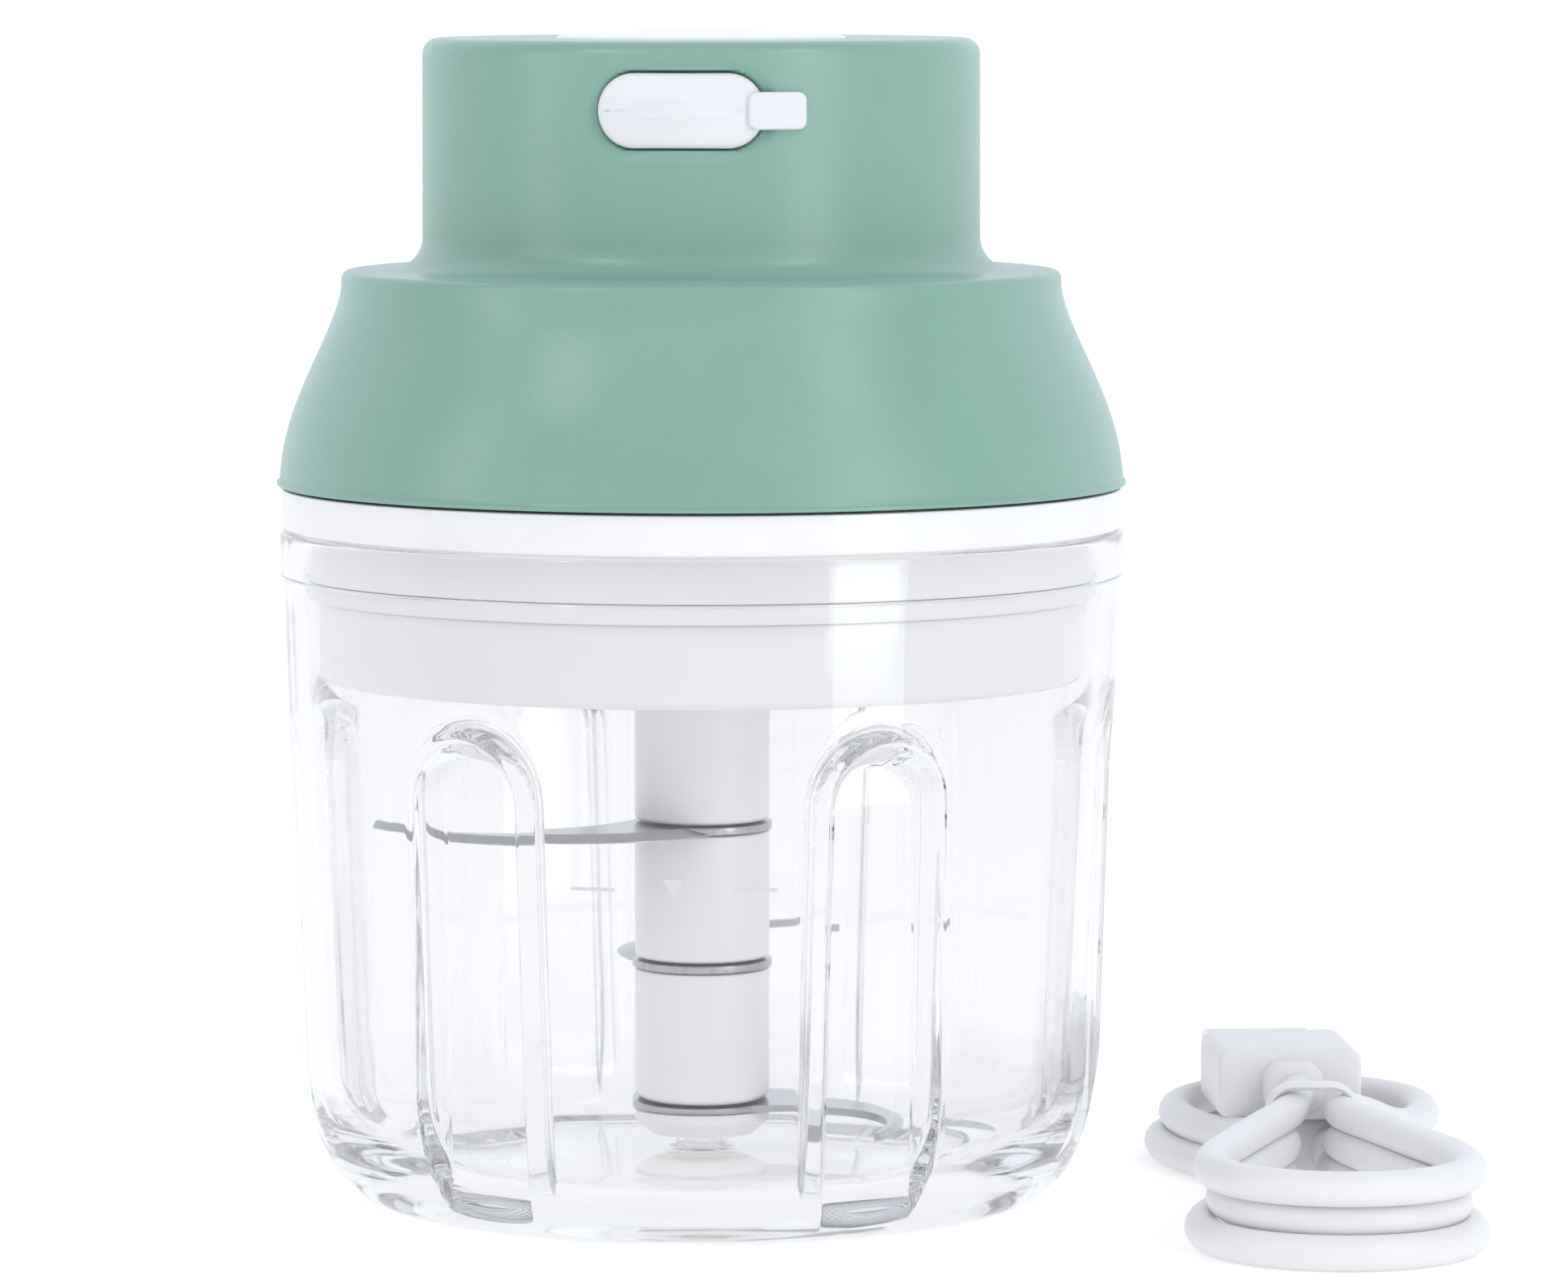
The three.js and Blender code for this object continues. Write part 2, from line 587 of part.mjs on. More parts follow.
// ---------------------------------------------------------------- motor head: motor
const MOTOR_TOP = MOTOR_Z + MOTOR_H;
const motorCan = cut(
  lathe([
    [2.4, MOTOR_Z],
    [MOTOR_R, MOTOR_Z],
    [MOTOR_R, MOTOR_TOP],
    [MOTOR_R - 1, MOTOR_TOP],
    [MOTOR_R - 1, MOTOR_Z + 1.2],
    [2.4, MOTOR_Z + 1.2],
    [2.4, MOTOR_Z],
  ], 36),
  ...[-8, 8].map((x) => moved(rod(1.4, 70, 82, 8), x, 0)),
);
add(head, "motor_can", motorCan, MATERIAL.steel);

function magnet() {
  const inner = MOTOR_R - 3.4;
  const outer = MOTOR_R - 1 - GAP;
  const outline = [...arc(0, 0, outer, outer, -62, 62, 8), ...arc(0, 0, inner, inner, 62, -62, 8)];
  return plate(polygon(outline), MOTOR_Z + 4, MOTOR_TOP - 6);
}
add(head, "magnet_1", magnet(), MATERIAL.magnet);
add(head, "magnet_2", magnet(), MATERIAL.magnet).rotation.z = Math.PI;

function endBell() {
  const bell = lathe([
    [1.6, MOTOR_TOP + GAP],
    [MOTOR_R - 0.3, MOTOR_TOP + GAP],
    [MOTOR_R - 0.3, MOTOR_TOP + 2],
    [4, MOTOR_TOP + 2.6],
    [1.6, MOTOR_TOP + 2.6],
    [1.6, MOTOR_TOP + GAP],
  ], 36);
  const tabs = [-7, 7].map((x) => block(x - 1.2, x + 1.2, -0.25, 0.25, MOTOR_TOP + 1, MOTOR_TOP + 5));
  return join(bell, ...tabs);
}
add(head, "motor_end_bell", endBell(), MATERIAL.black);

// The armature is a slotted stack of three poles, with its windings between them.
function armature() {
  const low = MOTOR_Z + 6;
  const high = MOTOR_TOP - 8;
  const slot = () => block(3.2, 10, -1.2, 1.2, low - 1, high + 1);
  const slots = [0, 1, 2].map((i) => around(slot(), rad(60 + 120 * i)));
  return cut(ring(8.2, MOTOR_SHAFT_R + GAP, low, high, 36), ...slots);
}
add(head, "armature", armature(), MATERIAL.copper);
const commutator = ring(2.6, MOTOR_SHAFT_R + GAP, MOTOR_TOP - 6.5, MOTOR_TOP - 2, 18);
add(head, "commutator", commutator, MATERIAL.copper);
add(head, "motor_shaft", rod(MOTOR_SHAFT_R, PLANET_Z - 0.1, MOTOR_TOP + 2.2, 16), MATERIAL.steel);
[-8, 8].forEach((x, i) => {
  const mesh = add(head, `motor_screw_${i + 1}`, screw(2, 1.1, 1.1, 5), MATERIAL.steel);
  mesh.position.set(x, 0, 74.9);
});

// ---------------------------------------------------------------- blade stack
const stack = group();
const hexHole = (radius) => plate(regular(6, radius), -1, 80);

function sleeve(low, high, foot = STACK_R) {
  const widest = Math.min(high, low + 2.6);
  const outside = lathe([[0, low], [foot, low], [STACK_R, widest], [STACK_R, high], [0, high]], 36);
  return cut(outside, hexHole(CORE_R + GAP));
}

// A sickle blade: a washer round the core and one curved arm along +X. Its outer, leading edge is the one
// towards +Y, because the stack turns counter-clockwise seen from above.
function blade({ reach, turn }) {
  const arm = new THREE.Shape();
  arm.moveTo(-1, STACK_R);
  arm.bezierCurveTo(0.25 * reach, 19, 0.68 * reach, 15, reach, -0.6);
  arm.lineTo(reach - 0.6, -1.2);
  arm.bezierCurveTo(0.73 * reach, 11, 0.34 * reach, 12, 5, -5.2);
  const body = join(rod(STACK_R + 0.2, 0, BLADE_T, 36), plate(arm, 0, BLADE_T, 9));
  return cut(body, around(hexHole(CORE_R + GAP), rad(-turn)).translate(0, 0, -20));
}

const core = cut(
  plate(regular(6, CORE_R), STACK_FOOT + 0.4, STACK_TOP - 0.4),
  rod(POST_R + GAP, 0, POST_TOP + 1, SMALL),
  plate(regular(6, HEX_R + GAP), SHAFT_END - 0.8, 70),
);
add(stack, "blade_core", core, MATERIAL.nylon);

const levels = [STACK_TOP, ...BLADES.flatMap(({ z }) => [z + BLADE_T, z]), STACK_FOOT];
["sleeve_top", "sleeve_upper", "sleeve_lower", "sleeve_foot"].forEach((name, i) => {
  const high = levels[2 * i] - (i > 0 ? GAP / 2 : 0);
  const low = levels[2 * i + 1] + (i < 3 ? GAP / 2 : 0);
  add(stack, name, sleeve(low, high, i === 3 ? 5.4 : STACK_R), MATERIAL.white);
});
for (const spec of BLADES) {
  const mesh = add(stack, spec.name, blade(spec), MATERIAL.steel);
  mesh.position.z = spec.z;
  mesh.rotation.z = rad(spec.turn);
}

// ---------------------------------------------------------------- charging lead
// In its own frame the hank lies along +Y, its tie at the origin, and both plugs in the far loop.
const lead = group(HANK.x, HANK.y, 0, HANK.turn);

// The hank's outline, the given distance outside the cord's centre line.
function hankOutline(out) {
  const side = (sign, end) => {
    const reach = sign * (LOOP_R + out);
    const from = [sign * (PINCH + out), 0];
    return [from, [from[0] + sign * 0.6, end * 0.17], [reach, end * 0.44], [reach, end]];
  };
  const shape = new THREE.Shape();
  const draw = ([, b, c, d]) => shape.bezierCurveTo(...b, ...c, ...d);
  const drawBack = ([a, b, c]) => shape.bezierCurveTo(...c, ...b, ...a);
  shape.moveTo(PINCH + out, 0);
  draw(side(1, FAR_LOOP));
  shape.absarc(0, FAR_LOOP, LOOP_R + out, 0, Math.PI);
  drawBack(side(-1, FAR_LOOP));
  draw(side(-1, NEAR_LOOP));
  shape.absarc(0, NEAR_LOOP, LOOP_R + out, Math.PI, TAU);
  drawBack(side(1, NEAR_LOOP));
  return shape;
}

function hank() {
  const body = plate(hankOutline(CORD_D / 2 + 0.1), 0, LAYERS * CORD_D, 8);
  const inside = LOOP_R - CORD_D / 2 - 0.3;
  const well = new THREE.Shape();
  well.moveTo(0, 7.4);
  well.lineTo(8.9, 13.6);
  well.lineTo(inside, 24);
  well.absarc(0, FAR_LOOP, inside, 0, Math.PI);
  well.lineTo(-inside, 24);
  well.lineTo(-8.9, 13.6);
  const underTie = block(-9, 9, -2.6, 2.6, -1, TIE_T + GAP);
  const reliefSpace = block(-3.6, 3.6, 7, 14, USB_A.z - 3.2, 20);
  const bodySpace = block(-8.2, 8.2, USB_A.from - 0.4, USB_A.to, USB_A.z - 4.3, 20);
  const shellSpace = block(-6.4, 6.4, USB_A.to, USB_A.tip + 0.4, USB_A.z - 2.6, 20);
  const turned = (space) => around(space, rad(USB_A.turn)).translate(USB_A.x, 0, 0);
  const plugSpace = [reliefSpace, bodySpace, shellSpace].map(turned);
  return cut(body, plate(well, -1, 20, 8), underTie, ...plugSpace);
}
add(lead, "lead_hank", hank(), MATERIAL.white);

function tie() {
  const height = LAYERS * CORD_D + GAP + 0.2;
  const width = 2 * CORD_D + 2.6;
  const outer = rounded(width + 2 * TIE_T, height + TIE_T, 2.4);
  outer.holes.push(rounded(width, height - TIE_T, 1));
  return plate(outer, -2, 2, 4)
    .rotateX(Math.PI / 2)
    .translate(0, 0, (height + TIE_T) / 2);
}
add(lead, "lead_tie", tie(), MATERIAL.white);

// A box with rounded long edges that runs along +Y from one place to another.
const bar = (width, height, radius, y0, y1) =>
  plate(rounded(width, height, radius), -y1, -y0, 4).rotateX(Math.PI / 2);

const plugA = new THREE.Group();
plugA.position.set(USB_A.x, 0, USB_A.z);
plugA.rotation.z = rad(USB_A.turn);
lead.add(plugA);
const reliefA = bar(6.2, 5.6, 1.6, USB_A.from - 4, USB_A.from + 0.2);
const bodyA = bar(USB_A.bodyWidth, USB_A.bodyHeight, 1.6, USB_A.from, USB_A.to);
add(plugA, "usb_a_body", join(bodyA, reliefA), MATERIAL.white);

function usbShell() {
  const outer = bar(USB_A.width, USB_A.height, 0.4, USB_A.to + GAP, USB_A.tip);
  const inner = bar(USB_A.width - 0.8, USB_A.height - 0.8, 0.3, USB_A.to + 1, USB_A.tip + 1);
  const windows = [-3.4, 3.4].map((x) => block(x - 1.2, x + 1.2, USB_A.to + 6, USB_A.to + 8.2, 0, 4));
  return cut(outer, inner, ...windows);
}
add(plugA, "usb_a_shell", usbShell(), MATERIAL.steel);
const insert = block(-5.2, 5.2, USB_A.to + 1.3, USB_A.tip - 0.6, -1.5, 0.1);
add(plugA, "usb_a_insert", insert, MATERIAL.white);

const plugB = new THREE.Group();
plugB.position.set(MICRO.x, 0, MICRO.z);
lead.add(plugB);
const reliefB = bar(5.4, 5, 1.4, MICRO.from - 3.6, MICRO.from + 0.2);
const bodyB = bar(MICRO.bodyWidth, MICRO.bodyHeight, 1.4, MICRO.from, MICRO.to);
add(plugB, "micro_usb_body", join(bodyB, reliefB), MATERIAL.white);

function microShell() {
  const outer = bar(MICRO.width, MICRO.height, 0.5, MICRO.to + GAP, MICRO.tip);
  const inner = bar(MICRO.width - 0.6, MICRO.height - 0.7, 0.3, MICRO.to + 1, MICRO.tip + 1);
  return cut(outer, inner);
}
add(plugB, "micro_usb_shell", microShell(), MATERIAL.steel);

export default root;
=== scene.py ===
"""A cordless mini food processor: clear fluted bowl, sickle blades, green motor head and lead."""

import math

import bmesh
import bpy
import numpy as np
from mathutils import Matrix, Vector


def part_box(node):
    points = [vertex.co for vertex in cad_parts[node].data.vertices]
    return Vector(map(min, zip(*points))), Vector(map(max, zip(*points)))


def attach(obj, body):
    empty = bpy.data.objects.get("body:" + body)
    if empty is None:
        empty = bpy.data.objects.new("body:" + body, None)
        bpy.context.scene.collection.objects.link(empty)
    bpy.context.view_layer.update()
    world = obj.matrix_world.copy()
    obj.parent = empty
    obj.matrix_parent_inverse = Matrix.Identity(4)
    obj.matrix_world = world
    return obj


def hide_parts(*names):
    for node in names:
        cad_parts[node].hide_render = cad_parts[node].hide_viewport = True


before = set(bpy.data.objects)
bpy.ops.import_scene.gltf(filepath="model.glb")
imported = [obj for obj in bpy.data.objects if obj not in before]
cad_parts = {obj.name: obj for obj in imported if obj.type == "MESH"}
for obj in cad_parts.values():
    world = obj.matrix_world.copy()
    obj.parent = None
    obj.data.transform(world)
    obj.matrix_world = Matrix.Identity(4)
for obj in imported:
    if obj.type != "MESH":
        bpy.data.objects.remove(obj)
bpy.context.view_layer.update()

MM = 0.001
TAU = 2 * math.pi


def node_box(name):
    """Lowest and highest corner of a CAD node, in millimetres."""
    low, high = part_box(name)
    return low / MM, high / MM


# ---------------------------------------------------------------- sizes from the frame, in millimetres
_, BOWL_HIGH = node_box("bowl")
_, SHELL_HIGH = node_box("head_shell")
CUP_LOW, CUP_HIGH = node_box("lid_cup")
RIM_R, RIM_Z = BOWL_HIGH.x, BOWL_HIGH.z
SKIRT_R, TOP_Z = SHELL_HIGH.x, SHELL_HIGH.z
FLANGE_R, CUP_Z, CUP_TOP = CUP_HIGH.x, CUP_LOW.z, CUP_HIGH.z
SEAL_LOW, SEAL_HIGH = node_box("lid_seal")
BUTTON_TOP = node_box("power_button")[1].z
STACK_R = node_box("sleeve_top")[1].x
SOCKET_LOW, SOCKET_HIGH = node_box("usb_socket")
# The cover's middle lies a little lower than the socket's
COVER_DROP = 0.3
PORT_Z = (SOCKET_LOW.z + SOCKET_HIGH.z) / 2 - COVER_DROP


# ---------------------------------------------------------------- camera and studio
CAMERA_AZIMUTH = math.radians(3.6)
CAMERA_DISTANCE = 850 * MM
CAMERA_HEIGHT = 136 * MM
AIM_RIGHT = 8.8 * MM
AIM_HEIGHT = 59.7 * MM
LENS = 183
LAMP_TINT = (0.94, 0.98, 1)
# Name, azimuth in degrees, distance, lowest and highest point and width in metres, radiance
SOFTBOXES = (
    ("key_right", 48, 0.35, 0.0, 0.35, 0.12, 2.0),
    ("top_right", 53, 0.35, 0.38, 0.6, 0.06, 9.5),
    ("fill_left", -62, 0.38, 0.08, 0.35, 0.1, 1.8),
    ("top_left", -42, 0.38, 0.38, 0.6, 0.06, 9.0),
)
# Where each tone of the surroundings sits, from 0 in front of the object to 1 behind it
SURROUNDINGS = (
    (0.03, (0.36, 0.36, 0.38, 1)),
    (0.1, (1.02, 1.02, 1.04, 1)),
    (0.45, (0.46, 0.46, 0.48, 1)),
    (0.75, (1.08, 1.12, 1.2, 1)),
)
FLOOR_HALF = 20
FLOOR_DROP = 0.00003
LIGHT_BOUNCES = 32


def make_camera():
    """A long lens, a little above the object's top and a little to its right."""
    data = bpy.data.cameras.new("camera")
    data.lens = LENS
    data.clip_start, data.clip_end = 0.05, 100
    camera = bpy.data.objects.new("camera", data)
    bpy.context.scene.collection.objects.link(camera)
    back = Vector((math.sin(CAMERA_AZIMUTH), -math.cos(CAMERA_AZIMUTH), 0))
    right = Vector((math.cos(CAMERA_AZIMUTH), math.sin(CAMERA_AZIMUTH), 0))
    aim = right * AIM_RIGHT + Vector((0, 0, AIM_HEIGHT))
    camera.location = right * AIM_RIGHT + back * CAMERA_DISTANCE + Vector((0, 0, CAMERA_HEIGHT))
    camera.rotation_euler = (aim - camera.location).to_track_quat("-Z", "Y").to_euler()
    bpy.context.scene.camera = camera


def softbox(name, azimuth, distance, low, high, width, radiance):
    """An upright soft area light between two heights. Azimuth 0 is the side of the charging port."""
    data = bpy.data.lights.new(name, "AREA")
    data.shape = "RECTANGLE"
    data.size, data.size_y = width, high - low
    data.energy = radiance * math.pi * width * (high - low)
    data.color = LAMP_TINT
    light = bpy.data.objects.new(name, data)
    bpy.context.scene.collection.objects.link(light)
    turn = math.radians(azimuth)
    out = Vector((math.sin(turn), -math.cos(turn), 0))
    light.location = out * distance + Vector((0, 0, (low + high) / 2))
    light.rotation_euler = (-out).to_track_quat("-Z", "Y").to_euler()


def make_world():
    """A white studio, greyer at both sides and straight in front, so that clear edges stand out."""
    world = bpy.data.worlds.new("studio")
    bpy.context.scene.world = world
    world.use_nodes = True
    nodes, links = world.node_tree.nodes, world.node_tree.links
    coordinates = nodes.new("ShaderNodeTexCoord")
    split = nodes.new("ShaderNodeSeparateXYZ")
    remap = nodes.new("ShaderNodeMapRange")
    remap.inputs["From Min"].default_value = -1
    ramp = nodes.new("ShaderNodeValToRGB")
    tones = ramp.color_ramp.elements
    for number, (position, tone) in enumerate(SURROUNDINGS):
        element = tones[number] if number < 2 else tones.new(position)
        element.position = position
        element.color = tone
    background = nodes["Background"]
    links.new(coordinates.outputs["Generated"], split.inputs[0])
    links.new(split.outputs["Y"], remap.inputs["Value"])
    links.new(remap.outputs[0], ramp.inputs[0])
    links.new(ramp.outputs[0], background.inputs["Color"])
    background.inputs["Strength"].default_value = 1.0


def make_floor():
    """White paper, a hair under the object so that nothing lies in its surface."""
    corners = [(-1, -1), (1, -1), (1, 1), (-1, 1)]
    mesh = bpy.data.meshes.new("floor")
    vertices = [(x * FLOOR_HALF, y * FLOOR_HALF, -FLOOR_DROP) for x, y in corners]
    mesh.from_pydata(vertices, [], [(0, 1, 2, 3)])
    floor = bpy.data.objects.new("floor", mesh)
    bpy.context.scene.collection.objects.link(floor)
    material, shader, _, _ = new_material("floor_paper")
    shader.inputs["Base Color"].default_value = (0.76, 0.76, 0.76, 1)
    shader.inputs["Emission Color"].default_value = (1, 1, 1, 1)
    shader.inputs["Emission Strength"].default_value = 0.375
    shader.inputs["Roughness"].default_value = 0.9
    shader.inputs["Specular IOR Level"].default_value = 0.1
    mesh.materials.append(material)


def set_up_render():
    """Enough bounces for light that travels far inside the clear wall, and plain colours."""
    scene = bpy.context.scene
    scene.cycles.max_bounces = LIGHT_BOUNCES
    scene.cycles.transmission_bounces = LIGHT_BOUNCES
    scene.cycles.glossy_bounces = LIGHT_BOUNCES
    scene.view_settings.view_transform = "Standard"


# ---------------------------------------------------------------- materials
GRAIN_SCALE = 2600
MOTTLE_SCALE = 90
GRAIN_DEPTH = 0.2 * MM
SUBSURFACE_REACH = 4 * MM


def new_material(name):
    """A node material. Returns it with its shader, its nodes and its links."""
    material = bpy.data.materials.new(name)
    material.use_nodes = True
    tree = material.node_tree
    return material, tree.nodes["Principled BSDF"], tree.nodes, tree.links


def noise(nodes, links, scale, detail=2.0, stretch=None):
    """A noise texture in the piece's own space. Its scale is in features per metre."""
    coordinates = nodes.new("ShaderNodeTexCoord")
    texture = nodes.new("ShaderNodeTexNoise")
    texture.inputs["Scale"].default_value = scale
    texture.inputs["Detail"].default_value = detail
    if stretch:
        mapping = nodes.new("ShaderNodeMapping")
        mapping.inputs["Scale"].default_value = stretch
        links.new(coordinates.outputs["Object"], mapping.inputs["Vector"])
        links.new(mapping.outputs[0], texture.inputs["Vector"])
    else:
        links.new(coordinates.outputs["Object"], texture.inputs["Vector"])
    return texture


def mottle(nodes, links, shader, texture, dark, light):
    """Base colour that wanders between two close tones with a noise."""
    ramp = nodes.new("ShaderNodeValToRGB")
    ramp.color_ramp.elements[0].position = 0.3
    ramp.color_ramp.elements[0].color = (*dark, 1)
    ramp.color_ramp.elements[1].position = 0.7
    ramp.color_ramp.elements[1].color = (*light, 1)
    links.new(texture.outputs["Fac"], ramp.inputs[0])
    links.new(ramp.outputs[0], shader.inputs["Base Color"])


def bump(nodes, links, shader, texture, strength, distance):
    """A relief as deep as distance, from a noise."""
    made = nodes.new("ShaderNodeBump")
    made.inputs["Strength"].default_value = strength
    made.inputs["Distance"].default_value = distance
    links.new(texture.outputs["Fac"], made.inputs["Height"])
    links.new(made.outputs[0], shader.inputs["Normal"])


def roughness_noise(nodes, links, shader, texture, low, high):
    """Gloss that wanders between two values with a noise."""
    remap = nodes.new("ShaderNodeMapRange")
    remap.inputs["To Min"].default_value = low
    remap.inputs["To Max"].default_value = high
    links.new(texture.outputs["Fac"], remap.inputs["Value"])
    links.new(remap.outputs[0], shader.inputs["Roughness"])


def moulded(name, colour, roughness, grain=0.03, spread=0.02, subsurface=0.0, sheen=0.0):
    """Moulded plastic: a faint mottle, a fine grain and a slightly uneven gloss."""
    material, shader, nodes, links = new_material(name)
    fine = noise(nodes, links, GRAIN_SCALE, 3)
    broad = noise(nodes, links, MOTTLE_SCALE, 2)
    dark = [c * (1 - spread) for c in colour]
    light = [min(1, c * (1 + spread)) for c in colour]
    mottle(nodes, links, shader, broad, dark, light)
    bump(nodes, links, shader, fine, grain, GRAIN_DEPTH)
    roughness_noise(nodes, links, shader, broad, roughness - 0.03, roughness + 0.03)
    if sheen:
        shader.inputs["Sheen Weight"].default_value = sheen
        shader.inputs["Sheen Roughness"].default_value = 0.3
        shader.inputs["Sheen Tint"].default_value = (0.75, 0.87, 1, 1)
    if subsurface:
        shader.inputs["Subsurface Weight"].default_value = subsurface
        shader.inputs["Subsurface Radius"].default_value = (SUBSURFACE_REACH,) * 3
        shader.inputs["Subsurface Scale"].default_value = 1.0
    return material


def clear_plastic():
    """Clear, faintly grey plastic with slow ripples. Light for other pieces goes straight through it."""
    material, shader, nodes, links = new_material("clear_plastic")
    shader.inputs["Base Color"].default_value = (0.945, 0.945, 0.945, 1)
    shader.inputs["Transmission Weight"].default_value = 1.0
    shader.inputs["IOR"].default_value = 1.5
    shader.inputs["Roughness"].default_value = 0.03
    haze = nodes.new("ShaderNodeVolumeAbsorption")
    haze.inputs["Color"].default_value = (0.0, 0.0, 0.0, 1)
    haze.inputs["Density"].default_value = 3.2
    links.new(haze.outputs[0], nodes["Material Output"].inputs["Volume"])
    flow = noise(nodes, links, 60, 1, (1, 1, 0.25))
    bump(nodes, links, shader, flow, 0.06, 0.001)
    path = nodes.new("ShaderNodeLightPath")
    lamp = nodes.new("ShaderNodeMath")
    lamp.operation = "MAXIMUM"
    links.new(path.outputs["Is Shadow Ray"], lamp.inputs[0])
    links.new(path.outputs["Is Diffuse Ray"], lamp.inputs[1])
    passes = nodes.new("ShaderNodeBsdfTransparent")
    passes.inputs["Color"].default_value = (0.96, 0.96, 0.96, 1)
    mix = nodes.new("ShaderNodeMixShader")
    links.new(lamp.outputs[0], mix.inputs[0])
    links.new(shader.outputs[0], mix.inputs[1])
    links.new(passes.outputs[0], mix.inputs[2])
    links.new(mix.outputs[0], nodes["Material Output"].inputs["Surface"])
    return material


def metal(name, colour, roughness, scale=900, stretch=(1, 1, 1), grain=0.02):
    """Bare metal with fine marks, drawn out one way if stretch says so."""
    material, shader, nodes, links = new_material(name)
    shader.inputs["Metallic"].default_value = 1.0
    marks = noise(nodes, links, scale, 4, stretch)
    mottle(nodes, links, shader, marks, [c * 0.95 for c in colour], colour)
    roughness_noise(nodes, links, shader, marks, roughness * 0.8, roughness * 1.3)
    bump(nodes, links, shader, marks, grain, GRAIN_DEPTH / 2)
    return material


MATERIAL = {
    "green": moulded("green_plastic", (0.222, 0.400, 0.330), 0.30, 0.14, sheen=0.2),
    "white": moulded("white_plastic", (0.88, 0.88, 0.89), 0.33),
    "cup": moulded("milky_plastic", (0.84, 0.84, 0.85), 0.09, grain=0.01),
    "clear": clear_plastic(),
    "silicone": moulded("white_silicone", (0.77, 0.78, 0.80), 0.55, 0.04),
    "seal": moulded("seal_silicone", (0.86, 0.86, 0.87), 0.4),
    "jacket": moulded("cord_jacket", (0.80, 0.80, 0.81), 0.42, 0.05, subsurface=0.1),
    "mark": moulded("frosted_mark", (0.66, 0.66, 0.67), 0.5),
    "nylon": moulded("natural_nylon", (0.78, 0.74, 0.64), 0.45, subsurface=0.1),
    "board": moulded("solder_mask", (0.02, 0.13, 0.06), 0.35),
    "black": moulded("black_plastic", (0.015, 0.015, 0.017), 0.45),
    "cell": moulded("cell_sleeve", (0.03, 0.13, 0.35), 0.3),
    "ferrite": metal("ferrite", (0.12, 0.12, 0.13), 0.6),
    "steel": metal("polished_steel", (0.46, 0.465, 0.475), 0.2, 500, (1, 8, 1)),
    "nickel": metal("nickel_plate", (0.74, 0.74, 0.74), 0.22, 1200),
    "gold": metal("gold_flash", (0.83, 0.68, 0.38), 0.25, 1200),
    "bronze": metal("sintered_bronze", (0.55, 0.36, 0.16), 0.4, 3000),
    "copper": metal("copper_wire", (0.72, 0.30, 0.16), 0.3, 4000),
}

CAD_LOOKS = {
    "control_board": "board",
    "switch_body": "black",
    "switch_plunger": "black",
    "usb_socket": "nickel",
    "battery_cell": "cell",
    "battery_terminal": "nickel",
    "output_bush": "bronze",
    "cup_screw_1": "nickel",
    "cup_screw_2": "nickel",
    "cup_screw_3": "nickel",
    "gearbox_housing": "nylon",
    "gearbox_cover": "nylon",
    "gearbox_screw_1": "nickel",
    "gearbox_screw_2": "nickel",
    "gearbox_screw_3": "nickel",
    "planet_carrier": "steel",
    "planet_gear_1": "nylon",
    "planet_gear_2": "nylon",
    "planet_gear_3": "nylon",
    "sun_gear": "bronze",
    "motor_can": "nickel",
    "magnet_1": "ferrite",
    "magnet_2": "ferrite",
    "motor_end_bell": "black",
    "armature": "copper",
    "commutator": "copper",
    "motor_shaft": "steel",
    "motor_screw_1": "nickel",
    "motor_screw_2": "nickel",
    "blade_core": "nylon",
}


def paint_cad_nodes():
    """Gives the inner CAD pieces, which are shown as they are, their materials."""
    for node, look in CAD_LOOKS.items():
        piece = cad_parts[node]
        piece.data.materials.clear()
        piece.data.materials.append(MATERIAL[look])


# ---------------------------------------------------------------- mesh building
def mesh_object(name, vertices, faces, material, sharp=35):
    """An object from vertices in millimetres."""
    mesh = bpy.data.meshes.new(name)
    mesh.from_pydata([tuple(v) for v in np.asarray(vertices, float) * MM], [], faces)
    mesh.validate()
    mesh.shade_smooth()
    mesh.set_sharp_from_angle(angle=math.radians(sharp))
    mesh.materials.append(MATERIAL[material])
    made = bpy.data.objects.new(name, mesh)
    bpy.context.scene.collection.objects.link(made)
    return made


def finish_piece(piece, body, slot, *nodes):
    """Puts a piece on its body and hides the CAD nodes that it replaces. Its slot is not used."""
    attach(piece, body)
    if nodes:
        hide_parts(*nodes)
    return piece


def fillet(points, closed=True, step=12):
    """Points (r, z, radius) as a line of (r, z), each corner rounded to its radius."""
    out = []
    count = len(points)
    for i, (r, z, radius) in enumerate(points):
        here = Vector((r, z))
        if radius == 0 or (not closed and i in (0, count - 1)):
            out.append(here)
            continue
        a = Vector(points[i - 1][:2]) - here
        b = Vector(points[(i + 1) % count][:2]) - here
        half = a.angle(b) / 2
        reach = min(radius / math.tan(half), 0.48 * min(a.length, b.length))
        centre = here + (a.normalized() + b.normalized()).normalized() * (reach / math.cos(half))
        start, end = here + a.normalized() * reach - centre, here + b.normalized() * reach - centre
        turn = start.angle_signed(end) if start.length > 1e-9 else 0
        steps = max(1, math.ceil(abs(math.degrees(turn)) / step))
        for k in range(steps + 1):
            angle = -turn * k / steps
            c, s = math.cos(angle), math.sin(angle)
            out.append(centre + Vector((start.x * c - start.y * s, start.x * s + start.y * c)))
    return [tuple(p) for p in out]


def densify(line, longest, closed=True):
    """The line with extra points, so that no stretch is longer than longest(r, z)."""
    out = []
    ends = line[1:] + (line[:1] if closed else [])
    for (r0, z0), (r1, z1) in zip(line, ends):
        count = max(1, math.ceil(math.dist((r0, z0), (r1, z1)) / longest((r0 + r1) / 2, (z0 + z1) / 2)))
        out += [(r0 + (r1 - r0) * k / count, z0 + (z1 - z0) * k / count) for k in range(count)]
    return out if closed else out + [line[-1]]


def bezier(p0, p1, p2, p3, steps):
    """Points of a cubic curve, both ends included."""
    t = np.linspace(0, 1, steps + 1)[:, None]
    p0, p1, p2, p3 = map(np.array, (p0, p1, p2, p3))
    line = (1 - t) ** 3 * p0 + 3 * (1 - t) ** 2 * t * p1 + 3 * (1 - t) * t * t * p2 + t**3 * p3
    return [tuple(map(float, p)) for p in line]


